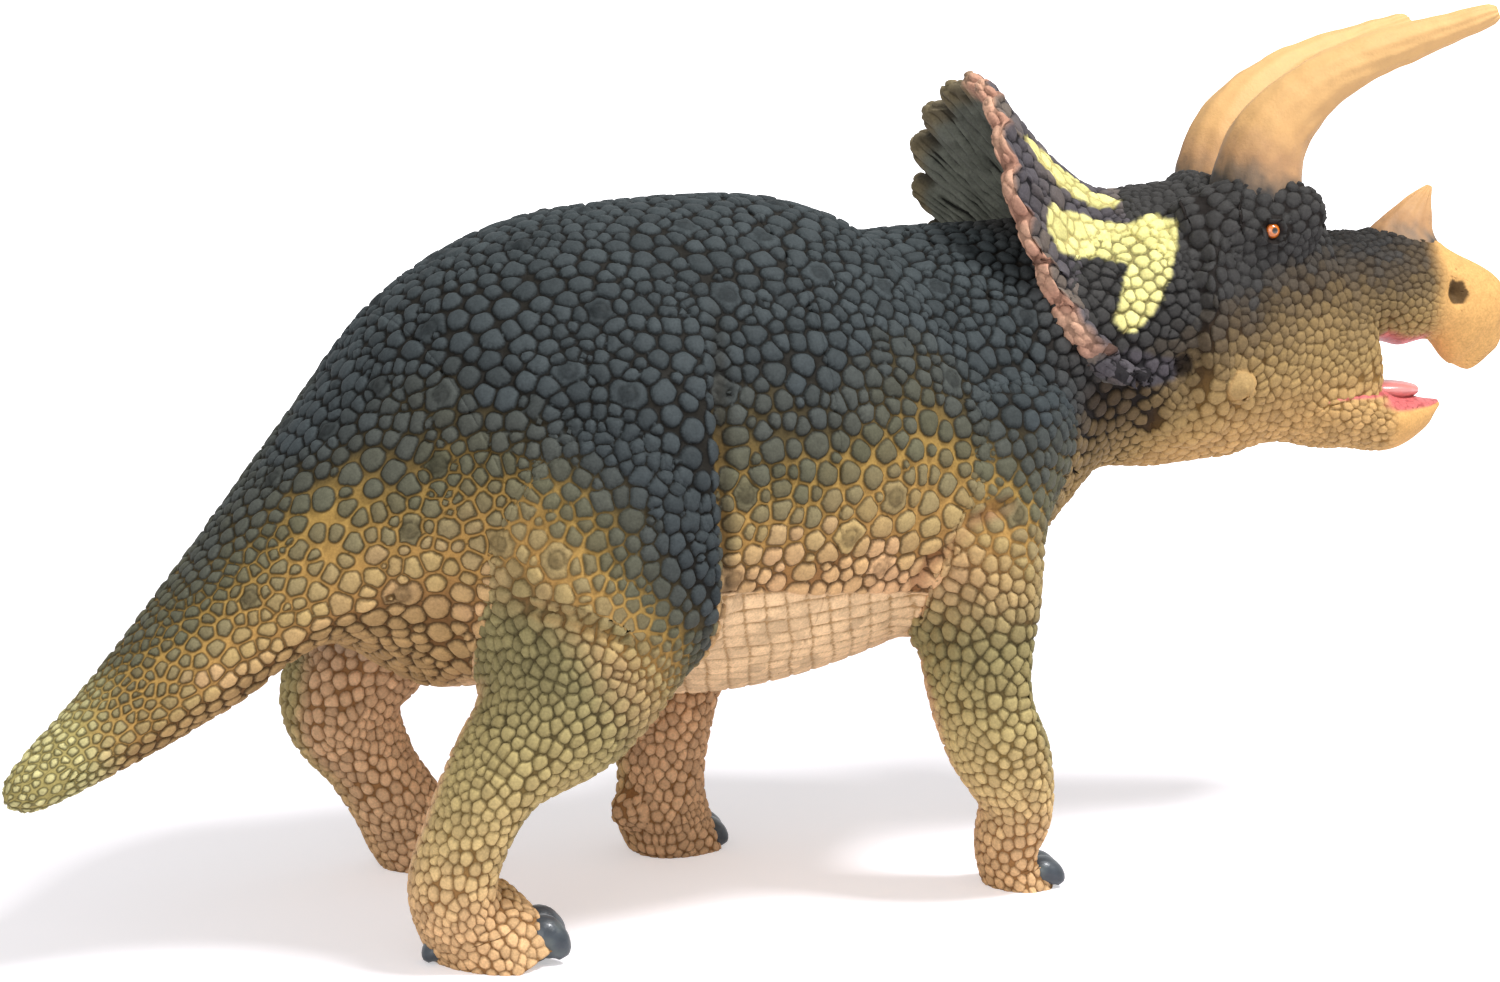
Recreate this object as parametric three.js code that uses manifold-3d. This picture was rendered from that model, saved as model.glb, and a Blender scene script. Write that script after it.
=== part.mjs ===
// Toy horned dinosaur figure in vinyl: a hollow body with its tail, four legs and a head that plug
// into it with snap rims, and a lower jaw, a tongue and two brow horns that plug into the head.
// Millimetres, +X towards the head, +Y to the animal's left, +Z up, soles on z = 0.
import * as THREE from "three";
import { mergeVertices } from "three/addons/utils/BufferGeometryUtils.js";
import Module from "manifold-3d";

const wasm = await Module();
wasm.setup();

// Driving sizes of the body and tail
const bodyLength = 130; // neck collar to tail tip, along X
const bodyHalfWidth = 30;
const bodyDepth = 60; // back to belly
const backHeight = 85; // top of the back above the ground

// Driving sizes of the legs
const hipHeight = 60; // hip joint above the ground
const hipSetback = 38; // hips behind the middle of the belly
const shoulderHeight = 56;
const shoulderReach = 14; // shoulders ahead of the middle of the belly
const stanceInset = 8; // middle of a thigh inside the body's half width
const stanceHalfWidth = bodyHalfWidth - stanceInset;
const thighRadius = 14;
const upperArmRadius = 13;
const clawRadius = 2.4;
const clawShares = [1.15, 0.9, 1]; // length, width and height of a claw, of its radius
const clawPlaceShares = [0.7, 0.85, 0.8]; // of the foot's front, half width and the claw's radius
const toeReachShare = 0.16; // toes stand out of a foot's outline by this
const toeWidthShare = 0.45; // of the turn from toe to toe

// Driving sizes of the head
const neckLength = 26;
const neckRadius = 19;
const skullLength = 58; // neck joint to the front of the beak
const skullHalfWidth = 15;
const skullDepth = 36; // brow to throat
const frillHalfWidth = 20.3;
const frillHeight = 36; // neck joint to the top of the frill
const frillEdgeThickness = 2.4;
const frillRootThickness = 5;
const frillLump = 1.8; // each bony lump stands out of the rim by this
const browHornReach = 29; // straight ahead, root to tip
const browHornRise = 21.5;
const browHornRadius = 6.2;
const browRadius = 6.5; // of the mound over each eye
const browShares = [1.6, 0.77, 1]; // length, width and height of a brow, of its radius
const noseHornHeight = 10;
const noseHornRadius = 4.7;
const jawLength = 16.8;
const jawHalfWidth = 7.4;
const jawDepth = 9;
const tongueLength = 8;
const tongueHalfWidth = 3.8;
const tongueThickness = 2.6;

// Driving sizes of the joints between mouldings
const wall = 3; // of the hollow body
const seatGap = 0.3; // between two mouldings, all round
const legPlugRadius = 5;
const neckPlugRadius = 9;
const rimWidth = 1.4; // a snap rim stands out of its plug by this
const rimThickness = 2;
const hornPlugRadius = 2.4;
const jawPlugRadius = 2.2;
const tonguePlugRadius = 1.1;
const headPlugDepth = 5; // of the horn and jaw plugs
const tonguePlugDepth = 2.2;
const tailCoreLength = 42; // the tip of the tail is solid
const cutOverrun = 3; // a cut runs past what it cuts by this
const leastSpan = 0.4; // of a section that a wall closes up

// Turns and counts
const headYaw = THREE.MathUtils.degToRad(-15);
const headRoll = THREE.MathUtils.degToRad(-6.5);
const toeSpread = THREE.MathUtils.degToRad(42);
const frillLumps = 17;
const upAxis = new THREE.Vector3(0, 0, 1);
const aheadAxis = new THREE.Vector3(1, 0, 0);

// Body sections from the collar to the tail tip. Place: shares of body length, half width and back
// height. Spans: half width, height over the path and depth under it, as shares of width and depth.
const bodyShares = [
  [0.173, 0, 0.706, 0.65, 0.36, 0.333],
  [0.112, 0, 0.653, 0.767, 0.425, 0.375],
  [0.038, 0, 0.629, 0.9, 0.475, 0.425],
  [-0.062, 0, 0.624, 0.983, 0.522, 0.475],
  [-0.169, 0, 0.624, 1.017, 0.527, 0.483],
  [-0.269, 0, 0.612, 0.983, 0.517, 0.425],
  [-0.362, 0, 0.582, 0.867, 0.45, 0.358],
  [-0.446, 0, 0.541, 0.667, 0.322, 0.32],
  [-0.535, -0.017, 0.482, 0.467, 0.215, 0.1],
  [-0.623, -0.04, 0.407, 0.333, 0.14, 0.1],
  [-0.708, -0.08, 0.334, 0.22, 0.082, 0.082],
  [-0.773, -0.127, 0.278, 0.14, 0.057, 0.053],
  [-0.798, -0.147, 0.259, 0.093, 0.04, 0.038],
  [-0.81, -0.157, 0.252, 0.033, 0.015, 0.015],
];

// Leg sections from inside the body to the sole. Place ahead of the joint, out from the middle plane
// and above the ground: shares of the joint's height, the stance and the joint's height again.
// Spans: to the side, to the front and to the back, as shares of the leg's radius. Last, how far
// the toes stand out.
const hindRightShares = [
  [0.033, 0.545, 1, 0.929, 1, 1, 0],
  [-0.033, 0.864, 0.833, 0.893, 1.143, 0.929, 0],
  [-0.067, 1, 0.667, 0.821, 1.093, 0.786, 0],
  [-0.132, 1.045, 0.5, 0.7, 0.729, 0.629, 0],
  [-0.247, 1.023, 0.367, 0.543, 0.3, 0.429, 0],
  [-0.3, 0.955, 0.25, 0.457, 0.271, 0.371, 0],
  [-0.31, 0.864, 0.15, 0.486, 0.314, 0.4, 0],
  [-0.277, 0.818, 0.075, 0.557, 0.457, 0.414, 0.5],
  [-0.233, 0.864, -0.02, 0.571, 0.529, 0.357, 1],
];
const hindLeftShares = [
  [0.033, 0.545, 1, 0.929, 1, 1, 0],
  [-0.033, 0.864, 0.833, 0.893, 1.036, 0.929, 0],
  [-0.117, 1.045, 0.633, 0.821, 0.893, 0.757, 0],
  [-0.203, 1.114, 0.467, 0.664, 0.679, 0.564, 0],
  [-0.233, 1.114, 0.35, 0.536, 0.536, 0.543, 0],
  [-0.183, 1.105, 0.233, 0.436, 0.436, 0.371, 0],
  [-0.117, 1.109, 0.14, 0.421, 0.4, 0.4, 0],
  [-0.077, 1.145, 0.073, 0.443, 0.457, 0.414, 0.5],
  [-0.043, 1.2, -0.013, 0.443, 0.5, 0.329, 1],
];
const frontRightShares = [
  [0, 0.545, 1, 1, 1, 0.923, 0],
  [-0.027, 0.773, 0.821, 0.885, 0.738, 0.923, 0],
  [-0.018, 0.932, 0.643, 0.769, 0.369, 0.723, 0],
  [-0.021, 1, 0.482, 0.638, 0.169, 0.638, 0],
  [0.018, 1, 0.339, 0.569, 0.308, 0.585, 0],
  [0.057, 0.955, 0.205, 0.446, 0.277, 0.385, 0],
  [0.061, 0.864, 0.116, 0.4, 0.2, 0.338, 0],
  [0.071, 0.809, 0.057, 0.385, 0.231, 0.308, 0.5],
  [0.086, 0.818, -0.014, 0.385, 0.277, 0.246, 1],
];
const frontLeftShares = [
  [0, 0.545, 1, 1, 1, 0.923, 0],
  [-0.107, 0.727, 0.786, 0.846, 0.885, 0.9, 0],
  [-0.232, 0.818, 0.607, 0.754, 0.585, 0.769, 0],
  [-0.375, 0.809, 0.429, 0.6, 0.323, 0.6, 0],
  [-0.452, 0.75, 0.286, 0.538, 0.377, 0.531, 0],
  [-0.473, 0.736, 0.179, 0.446, 0.415, 0.431, 0],
  [-0.468, 0.773, 0.098, 0.492, 0.446, 0.431, 0.3],
  [-0.446, 0.827, 0.05, 0.508, 0.431, 0.415, 0.7],
  [-0.411, 0.864, -0.018, 0.477, 0.385, 0.338, 1],
];

// Where along its path each leg leaves the body
const hindSeamShare = 0.25;
const frontRightSeamShare = 0.15;
const frontLeftSeamShare = 0.22;

// Neck sections past the collar. Place from the collar: shares of the neck's length. Spans: shares
// of its radius. The collar's own section is the body's, narrower by this share.
const collarStepShare = 0.95;
const neckShares = [
  [0.346, 0, 0.154, 0.921, 0.842, 0.947],
  [0.692, -0.046, 0.231, 0.842, 0.737, 0.895],
  [1.077, -0.115, 0.277, 0.763, 0.632, 0.842],
];
const headPlaceShares = [0.52, 0, 0]; // neck joint from the collar, of the neck's length

// Skull sections from inside the neck to the beak, in the head's own frame. Place: shares of the
// skull's length, half width and depth. Spans: half width, over and under, of width and depth.
const skullShares = [
  [0.034, 0, 0.119, 0.8, 0.306, 0.417],
  [0.138, 0, 0.139, 0.933, 0.415, 0.489],
  [0.267, 0, 0.172, 1.02, 0.46, 0.506],
  [0.379, 0, 0.181, 0.973, 0.481, 0.5],
  [0.5, 0, 0.167, 0.8, 0.422, 0.444],
  [0.595, 0, 0.167, 0.633, 0.35, 0.425],
  [0.664, 0, 0.208, 0.547, 0.258, 0.172],
  [0.767, 0, 0.222, 0.48, 0.2, 0.178],
  [0.862, 0, 0.194, 0.373, 0.175, 0.144],
  [0.936, 0, 0.128, 0.28, 0.167, 0.18],
  [0.975, 0, 0.078, 0.147, 0.1, 0.15],
  [0.997, 0, 0.064, 0.06, 0.033, 0.05],
];
const jawPlaceShares = [0.56, 0, -0.172]; // back of the jaw, of the skull's length and depth
const jawShares = [
  [0, 0, 0, 1.081, 0.356, 0.456],
  [0.28, 0, -0.044, 1, 0.333, 0.511],
  [0.549, 0, -0.156, 0.851, 0.367, 0.467],
  [0.8, 0, -0.089, 0.554, 0.256, 0.3],
  [0.931, 0, -0.011, 0.297, 0.122, 0.133],
  [1, 0, 0.033, 0.108, 0.056, 0.056],
];
const tonguePlaceShares = [0.665, 0, -0.113];
const tongueShares = [
  [0, 0, 0, 0.7, 0.35, 0.35],
  [0.25, 0, 0.05, 1, 0.5, 0.5],
  [0.65, 0, 0.02, 0.95, 0.46, 0.5],
  [0.92, 0, -0.02, 0.6, 0.3, 0.3],
  [1, 0, -0.04, 0.25, 0.12, 0.12],
];
const browPlaceShares = [0.345, 0.63, 0.458];
const browHornPlaceShares = [0.4, 0.51, 0.597];
const browHornShares = [
  [-0.021, -0.021, -0.102, 1, 1.016, 1.016],
  [0.031, 0.028, 0.26, 0.82, 0.84, 0.84],
  [0.159, 0.069, 0.5, 0.66, 0.67, 0.67],
  [0.383, 0.124, 0.71, 0.51, 0.52, 0.52],
  [0.683, 0.193, 0.861, 0.375, 0.385, 0.385],
  [0.952, 0.269, 0.977, 0.25, 0.258, 0.258],
  [1, 0.286, 1, 0.141, 0.148, 0.148],
];
const noseHornPlaceShares = [0.776, 0, 0.347];
const noseHornShares = [
  [0, 0, 0, 0.638, 0.936, 1.043],
  [0.06, 0, 0.3, 0.511, 0.787, 0.936],
  [0.2, 0, 0.62, 0.319, 0.489, 0.532],
  [0.34, 0, 0.85, 0.17, 0.191, 0.234],
  [0.38, 0, 0.92, 0.085, 0.085, 0.085],
];

// Frill: its edge and its root on the skull, from the crown down to the cheek, as shares of the
// skull's length, the frill's half width and its height. The sheet sinks between them by a share.
const frillEdgeShares = [
  [-0.175, 0, 0.985],
  [-0.185, 0.279, 0.966],
  [-0.197, 0.558, 0.914],
  [-0.207, 0.8, 0.833],
  [-0.207, 0.953, 0.715],
  [-0.193, 1, 0.575],
  [-0.159, 1, 0.43],
  [-0.124, 0.963, 0.323],
  [-0.076, 0.902, 0.188],
  [-0.014, 0.87, 0.051],
  [0.067, 0.885, -0.05],
];
const frillRootShares = [
  [0.216, 0, 0.56],
  [0.216, 0.167, 0.545],
  [0.216, 0.307, 0.497],
  [0.216, 0.409, 0.415],
  [0.212, 0.474, 0.296],
  [0.207, 0.512, 0.215],
  [0.203, 0.526, 0.134],
  [0.2, 0.521, 0.054],
  [0.2, 0.502, -0.027],
  [0.203, 0.474, -0.108],
  [0.21, 0.437, -0.188],
];
const frillSinkShare = 0.2;
const frillLeanShares = [0.6, 0.8]; // ahead and outwards
const lumpSharpness = 4; // how closely the lumps keep to the rim

// How finely each surface is stepped
const bodyRings = 33;
const bodySides = 28;
const cavityRings = 14;
const cavitySides = 12;
const legRings = 15;
const legSides = 20;
const headRings = 19;
const headSides = 20;
const hornRings = 11;
const hornSides = 12;
const plugSides = 16;
const stepsPerLump = 3;
const frillSteps = 4;
const clawSides = 8;
const clawRings = 6;
const browSides = 10;
const browRings = 6;

const scaleRow = (sizes) => (row) => row.map((share, i) => share * (i < sizes.length ? sizes[i] : 1));
const shift = (place) => (row) => row.map((value, i) => value + (i < place.length ? place[i] : 0));
const mirror = (row) => row.map((value, i) => (i === 1 ? -value : value));
const point = (row) => new THREE.Vector3(row[0], row[1], row[2]);

// A smooth curve through three columns of a table, stepped evenly from row to row.
function columns(rows, first) {
  const points = rows.map((row) => point(row.slice(first, first + 3)));
  return new THREE.CatmullRomCurve3(points, false, "catmullrom");
}

// One closed surface through sections along a path. Each row holds a section's place, its half
// width, its height over the path and its depth under it, and on a leg how far its toes stand out.
function loft(rows, { over = upAxis, rings, sides, grow = 0, outline = () => 1 }) {
  const path = columns(rows, 0);
  const spans = columns(rows, 3);
  const toes = columns(rows.map(([, , , , , , toe = 0]) => [toe, 0, 0]), 0);
  const corners = [];
  for (let ring = 0; ring < rings; ring++) {
    const share = ring / (rings - 1);
    const centre = path.getPoint(share);
    const along = path.getTangent(share);
    const upward = over.clone().addScaledVector(along, -over.dot(along)).normalize();
    const sideways = new THREE.Vector3().crossVectors(along, upward);
    const span = spans.getPoint(share);
    const toe = toes.getPoint(share).x;
    for (let side = 0; side < sides; side++) {
      const angle = (2 * Math.PI * side) / sides;
      const reach = Math.sin(angle) > 0 ? span.y : span.z;
      const shape = outline(angle, toe);
      const wide = Math.max(span.x * shape + grow, leastSpan);
      const tall = Math.max(reach * shape + grow, leastSpan);
      const corner = centre.clone().addScaledVector(sideways, wide * Math.cos(angle));
      corners.push(corner.addScaledVector(upward, tall * Math.sin(angle)));
    }
  }
  return tube(corners, rings, sides, path.getPoint(0), path.getPoint(1));
}

// Faces for rings of corners, closed by a fan at each end.
function tube(corners, rings, sides, start, end) {
  const faces = [];
  const startCorner = corners.push(start) - 1;
  const endCorner = corners.push(end) - 1;
  const lastRing = (rings - 1) * sides;
  for (let side = 0; side < sides; side++) {
    const next = (side + 1) % sides;
    for (let ring = 0; ring < lastRing; ring += sides) {
      const [a, b] = [ring + side, ring + sides + side];
      const [c, d] = [ring + sides + next, ring + next];
      faces.push(a, b, c, a, c, d);
    }
    faces.push(startCorner, side, next, endCorner, lastRing + next, lastRing + side);
  }
  return solid(new THREE.BufferGeometry().setFromPoints(corners).setIndex(faces));
}

// A geometry whose shared corners are merged, as a solid that can be joined and cut.
function solid(geometry) {
  const bare = geometry.clone();
  bare.deleteAttribute("normal");
  bare.deleteAttribute("uv");
  const merged = mergeVertices(bare);
  const vertProperties = merged.attributes.position.array;
  const triVerts = new Uint32Array(merged.index.array);
  return new wasm.Manifold(new wasm.Mesh({ numProp: 3, vertProperties, triVerts }));
}

// Crossing surfaces can close off a void or a speck smaller than the gaps, which is left out.
function withoutSpecks(made) {
  return wasm.Manifold.compose(made.decompose().filter((body) => body.volume() > seatGap ** 3));
}

// A solid back as a geometry with flat faces.
function faceted(made) {
  const { vertProperties, triVerts } = made.getMesh();
  const geometry = new THREE.BufferGeometry();
  geometry.setAttribute("position", new THREE.BufferAttribute(Float32Array.from(vertProperties), 3));
  geometry.setIndex([...triVerts]);
  const flat = geometry.toNonIndexed();
  flat.computeVertexNormals();
  return flat;
}

// A round pin from one point along a direction.
function pin(from, direction, length, radius) {
  const geometry = new THREE.CylinderGeometry(radius, radius, length, plugSides);
  const turn = new THREE.Quaternion().setFromUnitVectors(new THREE.Vector3(0, 1, 0), direction);
  const middle = from.clone().addScaledVector(direction, length / 2);
  return solid(geometry.applyQuaternion(turn).translate(...middle.toArray()));
}

// Keeps what lies past a plane, on the side that its normal points to.
function pastPlane(made, origin, normal, offset = 0) {
  return made.trimByPlane(normal.toArray(), origin.dot(normal) + offset);
}

// A plug that runs from a seam through the wall behind it and ends in a snap rim inside.
function snapPlug(seam, inward, radius) {
  const rimReach = wall + seatGap;
  const root = seam.clone().addScaledVector(inward, -wall);
  const rimStart = seam.clone().addScaledVector(inward, rimReach);
  const shaft = pin(root, inward, wall + rimReach + rimThickness, radius);
  return shaft.add(pin(rimStart, inward, rimThickness, radius + rimWidth));
}

// The hole that a plug passes through, from outside the seam to the hollow.
function plugHole(seam, inward, radius) {
  const start = seam.clone().addScaledVector(inward, -cutOverrun);
  return pin(start, inward, wall + 2 * cutOverrun, radius + seatGap);
}

// Body and tail
const bodySizes = [bodyLength, bodyHalfWidth, backHeight, bodyHalfWidth, bodyDepth, bodyDepth];
const bodyRows = bodyShares.map(scaleRow(bodySizes));
const barrel = (rings, sides, grow = 0) => loft(bodyRows, { rings, sides, grow });
const collar = point(bodyRows[0]);
const collarOut = collar.clone().sub(point(bodyRows[1])).normalize();
const collarIn = collarOut.clone().negate();

// Toes stand out of the front of a foot's outline in three lobes.
function toeOutline(angle, toe) {
  const turn = angle - Math.PI / 2;
  const lobe = (centre) => Math.exp(-(((turn - centre) / (toeWidthShare * toeSpread)) ** 2));
  return 1 + toeReachShare * toe * (lobe(-toeSpread) + lobe(0) + lobe(toeSpread));
}

// A leg's surface, its seam with the body, and its rows of sections, on one side of the body.
function legPlan(shares, jointX, jointHeight, radius, side, seamShare) {
  const sizes = [jointHeight, stanceHalfWidth, jointHeight, radius, radius, radius];
  const placed = shares.map(scaleRow(sizes)).map(shift([jointX]));
  const rows = side > 0 ? placed : placed.map(mirror);
  const path = columns(rows, 0);
  const down = path.getTangent(seamShare);
  const surface = (grow = 0) =>
    loft(rows, { over: aheadAxis, rings: legRings, sides: legSides, grow, outline: toeOutline });
  return { rows, surface, seam: path.getPoint(seamShare), down, up: down.clone().negate() };
}

// Three claws round the front of a foot.
function claws(rows) {
  const [x, y, , wide, front] = rows[rows.length - 1];
  const [ahead, aside, above] = [front, wide, clawRadius].map((size, i) => size * clawPlaceShares[i]);
  return [-toeSpread, 0, toeSpread].map((turn) => {
    const claw = new THREE.SphereGeometry(clawRadius, clawSides, clawRings).scale(...clawShares);
    claw.rotateZ(turn);
    claw.translate(x + ahead * Math.cos(turn), y + aside * Math.sin(turn), above);
    return solid(claw);
  });
}

const legPlans = {
  leg_hind_right: legPlan(hindRightShares, -hipSetback, hipHeight, thighRadius, -1, hindSeamShare),
  leg_hind_left: legPlan(hindLeftShares, -hipSetback, hipHeight, thighRadius, 1, hindSeamShare),
  leg_front_right: legPlan(
    frontRightShares, shoulderReach, shoulderHeight, upperArmRadius, -1, frontRightSeamShare),
  leg_front_left: legPlan(
    frontLeftShares, shoulderReach, shoulderHeight, upperArmRadius, 1, frontLeftSeamShare),
};

// The body is the barrel with a stump for each leg, hollow as far as the tail's solid core, with
// an end wall and a plug hole at the collar and at each stump.
function bodyShell() {
  let outer = barrel(bodyRings, bodySides);
  let hollow = pastPlane(barrel(cavityRings, cavitySides, -wall), collar, collarIn, wall);
  const tailTip = point(bodyRows[bodyRows.length - 1]);
  hollow = pastPlane(hollow, tailTip, aheadAxis, tailCoreLength);
  for (const { surface, seam, up } of Object.values(legPlans)) {
    outer = outer.add(pastPlane(surface(), seam, up));
    hollow = hollow.add(pastPlane(surface(-wall), seam, up, wall));
  }
  outer = pastPlane(outer, collar, collarIn);
  let shell = outer.subtract(hollow).subtract(plugHole(collar, collarIn, neckPlugRadius));
  for (const { seam, up } of Object.values(legPlans)) {
    shell = shell.subtract(plugHole(seam, up, legPlugRadius));
  }
  return shell;
}

// A leg below its seam, clear of the belly, flat under its sole, with its plug.
function leg({ rows, surface, seam, down, up }) {
  let made = pastPlane(surface(), seam, down, seatGap);
  for (const claw of claws(rows)) made = made.add(claw);
  made = made.subtract(barrel(bodyRings, bodySides, seatGap));
  made = made.add(snapPlug(seam, up, legPlugRadius));
  return pastPlane(made, new THREE.Vector3(), upAxis);
}

// Head frame: the neck joint is its origin, and the head is turned and tipped about it
const headPlace = collar.clone().add(point(headPlaceShares.map((share) => share * neckLength)));
const headTurn = new THREE.Euler(headRoll, 0, headYaw, "ZYX");
const headPose = new THREE.Matrix4().makeRotationFromEuler(headTurn).setPosition(headPlace);

const skullSizes = [skullLength, skullHalfWidth, skullDepth, skullHalfWidth, skullDepth, skullDepth];
const skullPlace = (shares) => shares.map((share, i) => share * skullSizes[i]);
const skullRows = skullShares.map(scaleRow(skullSizes));
const skull = (grow = 0) => loft(skullRows, { rings: headRings, sides: headSides, grow });

const jawSizes = [jawLength, jawHalfWidth, jawDepth, jawHalfWidth, jawDepth, jawDepth];
const jawRows = jawShares.map(scaleRow(jawSizes)).map(shift(skullPlace(jawPlaceShares)));
const jaw = (grow = 0) => loft(jawRows, { rings: hornRings, sides: headSides, grow });

const tongueSizes =
  [tongueLength, tongueHalfWidth, tongueThickness, tongueHalfWidth, tongueThickness, tongueThickness];
const tongueRows = tongueShares.map(scaleRow(tongueSizes)).map(shift(skullPlace(tonguePlaceShares)));
const tongue = (grow = 0) => loft(tongueRows, { rings: hornRings, sides: hornSides, grow });

const browHornSizes =
  [browHornReach, browHornReach, browHornRise, browHornRadius, browHornRadius, browHornRadius];
const browHornRows = (side) => {
  const rows = browHornShares.map(scaleRow(browHornSizes)).map(shift(skullPlace(browHornPlaceShares)));
  return side > 0 ? rows : rows.map(mirror);
};
const noseHornSizes =
  [noseHornHeight, noseHornHeight, noseHornHeight, noseHornRadius, noseHornRadius, noseHornRadius];
const noseHornRows =
  noseHornShares.map(scaleRow(noseHornSizes)).map(shift(skullPlace(noseHornPlaceShares)));

// The neck leaves the collar square to it and runs into the skull.
function neck() {
  const narrow = ([x, y, z, ...spans]) => [x, y, z, ...spans.map((span) => span * collarStepShare)];
  const inside = bodyRows.slice(0, 2).reverse().map(narrow);
  const sizes = [neckLength, neckLength, neckLength, neckRadius, neckRadius, neckRadius];
  const rows = neckShares.map(scaleRow(sizes)).map(shift(collar.toArray()));
  const made = loft([...inside, ...rows], { rings: headRings, sides: headSides });
  const seated = pastPlane(made, collar, collarOut, seatGap);
  return seated.add(snapPlug(collar, collarIn, neckPlugRadius));
}

// Both sides of an arch from its rows on one side, right to left over the crown.
function arch(shares) {
  const rows = shares.map(scaleRow([skullLength, frillHalfWidth, frillHeight]));
  const points = [...rows.map(mirror).reverse().slice(0, -1), ...rows].map(point);
  return new THREE.CatmullRomCurve3(points, false, "catmullrom");
}

// The frill is a curved sheet from the skull out to its edge, thinner towards the edge, where bony
// lumps stand out. Its two faces lie half its thickness to either side of the sheet, measured in a
// direction that leans ahead and outwards.
function frill() {
  const edge = arch(frillEdgeShares);
  const root = arch(frillRootShares);
  const steps = frillLumps * stepsPerLump;
  const outwardAt = (across) => root.getPoint(across).setX(0).normalize();
  const sheetPoint = (across, out) => {
    const from = root.getPoint(across);
    const ray = edge.getPoint(across).sub(from);
    const sink = frillSinkShare * ray.length() * Math.sin(Math.PI * out);
    const bump = Math.abs(Math.sin(Math.PI * frillLumps * across));
    const lump = frillLump * bump * out ** lumpSharpness;
    const reached = from.addScaledVector(ray, out).addScaledVector(ray.normalize(), lump);
    return reached.addScaledVector(outwardAt(across), -sink);
  };
  const corners = [];
  for (let i = 0; i <= steps; i++) {
    const across = i / steps;
    const [ahead, outward] = frillLeanShares;
    const lean = outwardAt(across).multiplyScalar(outward).addScaledVector(aheadAxis, ahead);
    const section = [];
    for (let j = 0; j <= frillSteps; j++) {
      const out = j / frillSteps;
      const half = THREE.MathUtils.lerp(frillRootThickness, frillEdgeThickness, out) / 2;
      const middle = sheetPoint(across, out);
      section[j] = middle.clone().addScaledVector(lean, half);
      section[2 * frillSteps + 1 - j] = middle.clone().addScaledVector(lean, -half);
    }
    corners.push(...section);
  }
  const around = 2 * frillSteps + 2;
  const middleOf = (across) => sheetPoint(across, 1 / 2);
  return tube(corners, steps + 1, around, middleOf(0), middleOf(1));
}

// The brow over an eye, at the root of a horn.
function brow(side, grow = 0) {
  const [x, y, z] = skullPlace(browPlaceShares);
  const mound = new THREE.SphereGeometry(browRadius, browSides, browRings);
  mound.scale(...browShares.map((share) => share + grow / browRadius));
  return solid(mound.translate(x, side * y, z));
}

// Where a brow horn leaves the skull, and in which direction.
function hornRoot(side) {
  const [root, next] = browHornRows(side).map(point);
  return { root, direction: next.clone().sub(root).normalize() };
}

// A horn's plug reaches as far into the skull as into the horn.
function browHornPlug(side, grow = 0) {
  const { root, direction } = hornRoot(side);
  const start = root.clone().addScaledVector(direction, -headPlugDepth - grow);
  return pin(start, direction, 2 * headPlugDepth + grow, hornPlugRadius + grow);
}

// A brow horn, hollowed at its root to sit on the brow and the skull, with its plug.
function browHorn(side) {
  const shaft = loft(browHornRows(side), { over: aheadAxis, rings: hornRings, sides: hornSides });
  const seated = shaft.subtract(skull(seatGap)).subtract(brow(side, seatGap));
  return seated.add(browHornPlug(side));
}

function jawPlug(grow = 0) {
  const start = point(jawRows[0]).addScaledVector(aheadAxis, -headPlugDepth - grow);
  return pin(start, aheadAxis, 2 * headPlugDepth + grow, jawPlugRadius + grow);
}

function tonguePlug(grow = 0) {
  const middle = point(tongueRows[2]);
  const down = upAxis.clone().negate();
  return pin(middle, down, tongueThickness + tonguePlugDepth + grow, tonguePlugRadius + grow);
}

// The lower jaw, with its plug and the seat of the tongue.
function lowerJaw() {
  return jaw().add(jawPlug()).subtract(tongue(seatGap)).subtract(tonguePlug(seatGap));
}

// Skull, brows, nose horn, frill and neck in one, with the pockets of what plugs into it.
function headSolid() {
  const noseHorn = loft(noseHornRows, { over: aheadAxis, rings: hornRings, sides: hornSides });
  const seatedNeck = neck().transform(headPose.clone().invert().elements);
  let made = skull().add(brow(-1)).add(brow(1)).add(noseHorn).add(frill()).add(seatedNeck);
  made = made.subtract(jaw(seatGap)).subtract(jawPlug(seatGap)).subtract(tongue(seatGap));
  for (const side of [-1, 1]) made = made.subtract(browHornPlug(side, seatGap));
  return withoutSpecks(made);
}

// Finishes
const vinylRoughness = 0.6;
const vinyl = (color) =>
  new THREE.MeshStandardMaterial({ color, roughness: vinylRoughness, metalness: 0 });
const scalySkin = vinyl("#5c6350");
const legSkin = vinyl("#b39c68");
const headSkin = vinyl("#7d7355");
const hornVinyl = vinyl("#e0b581");
const tongueVinyl = vinyl("#c97f78");

// A named mesh of one solid.
function moulding(name, made, material) {
  const mesh = new THREE.Mesh(faceted(made), material);
  mesh.name = name;
  return mesh;
}

const figure = new THREE.Group();
figure.add(moulding("torso", bodyShell(), scalySkin));
for (const [name, plan] of Object.entries(legPlans)) figure.add(moulding(name, leg(plan), legSkin));

const head = new THREE.Group();
head.position.copy(headPlace);
head.rotation.copy(headTurn);
head.add(moulding("head", headSolid(), headSkin));
head.add(moulding("lower_jaw", lowerJaw(), headSkin));
head.add(moulding("tongue", tongue().add(tonguePlug()), tongueVinyl));
head.add(moulding("brow_horn_right", browHorn(-1), hornVinyl));
head.add(moulding("brow_horn_left", browHorn(1), hornVinyl));
figure.add(head);

// The origin goes under the middle of the figure, on the ground.
const extent = new THREE.Box3().setFromObject(figure, true);
const middle = extent.getCenter(new THREE.Vector3());
figure.position.set(-middle.x, -middle.y, 0);

const part = new THREE.Group();
part.add(figure);
export default part;
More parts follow.
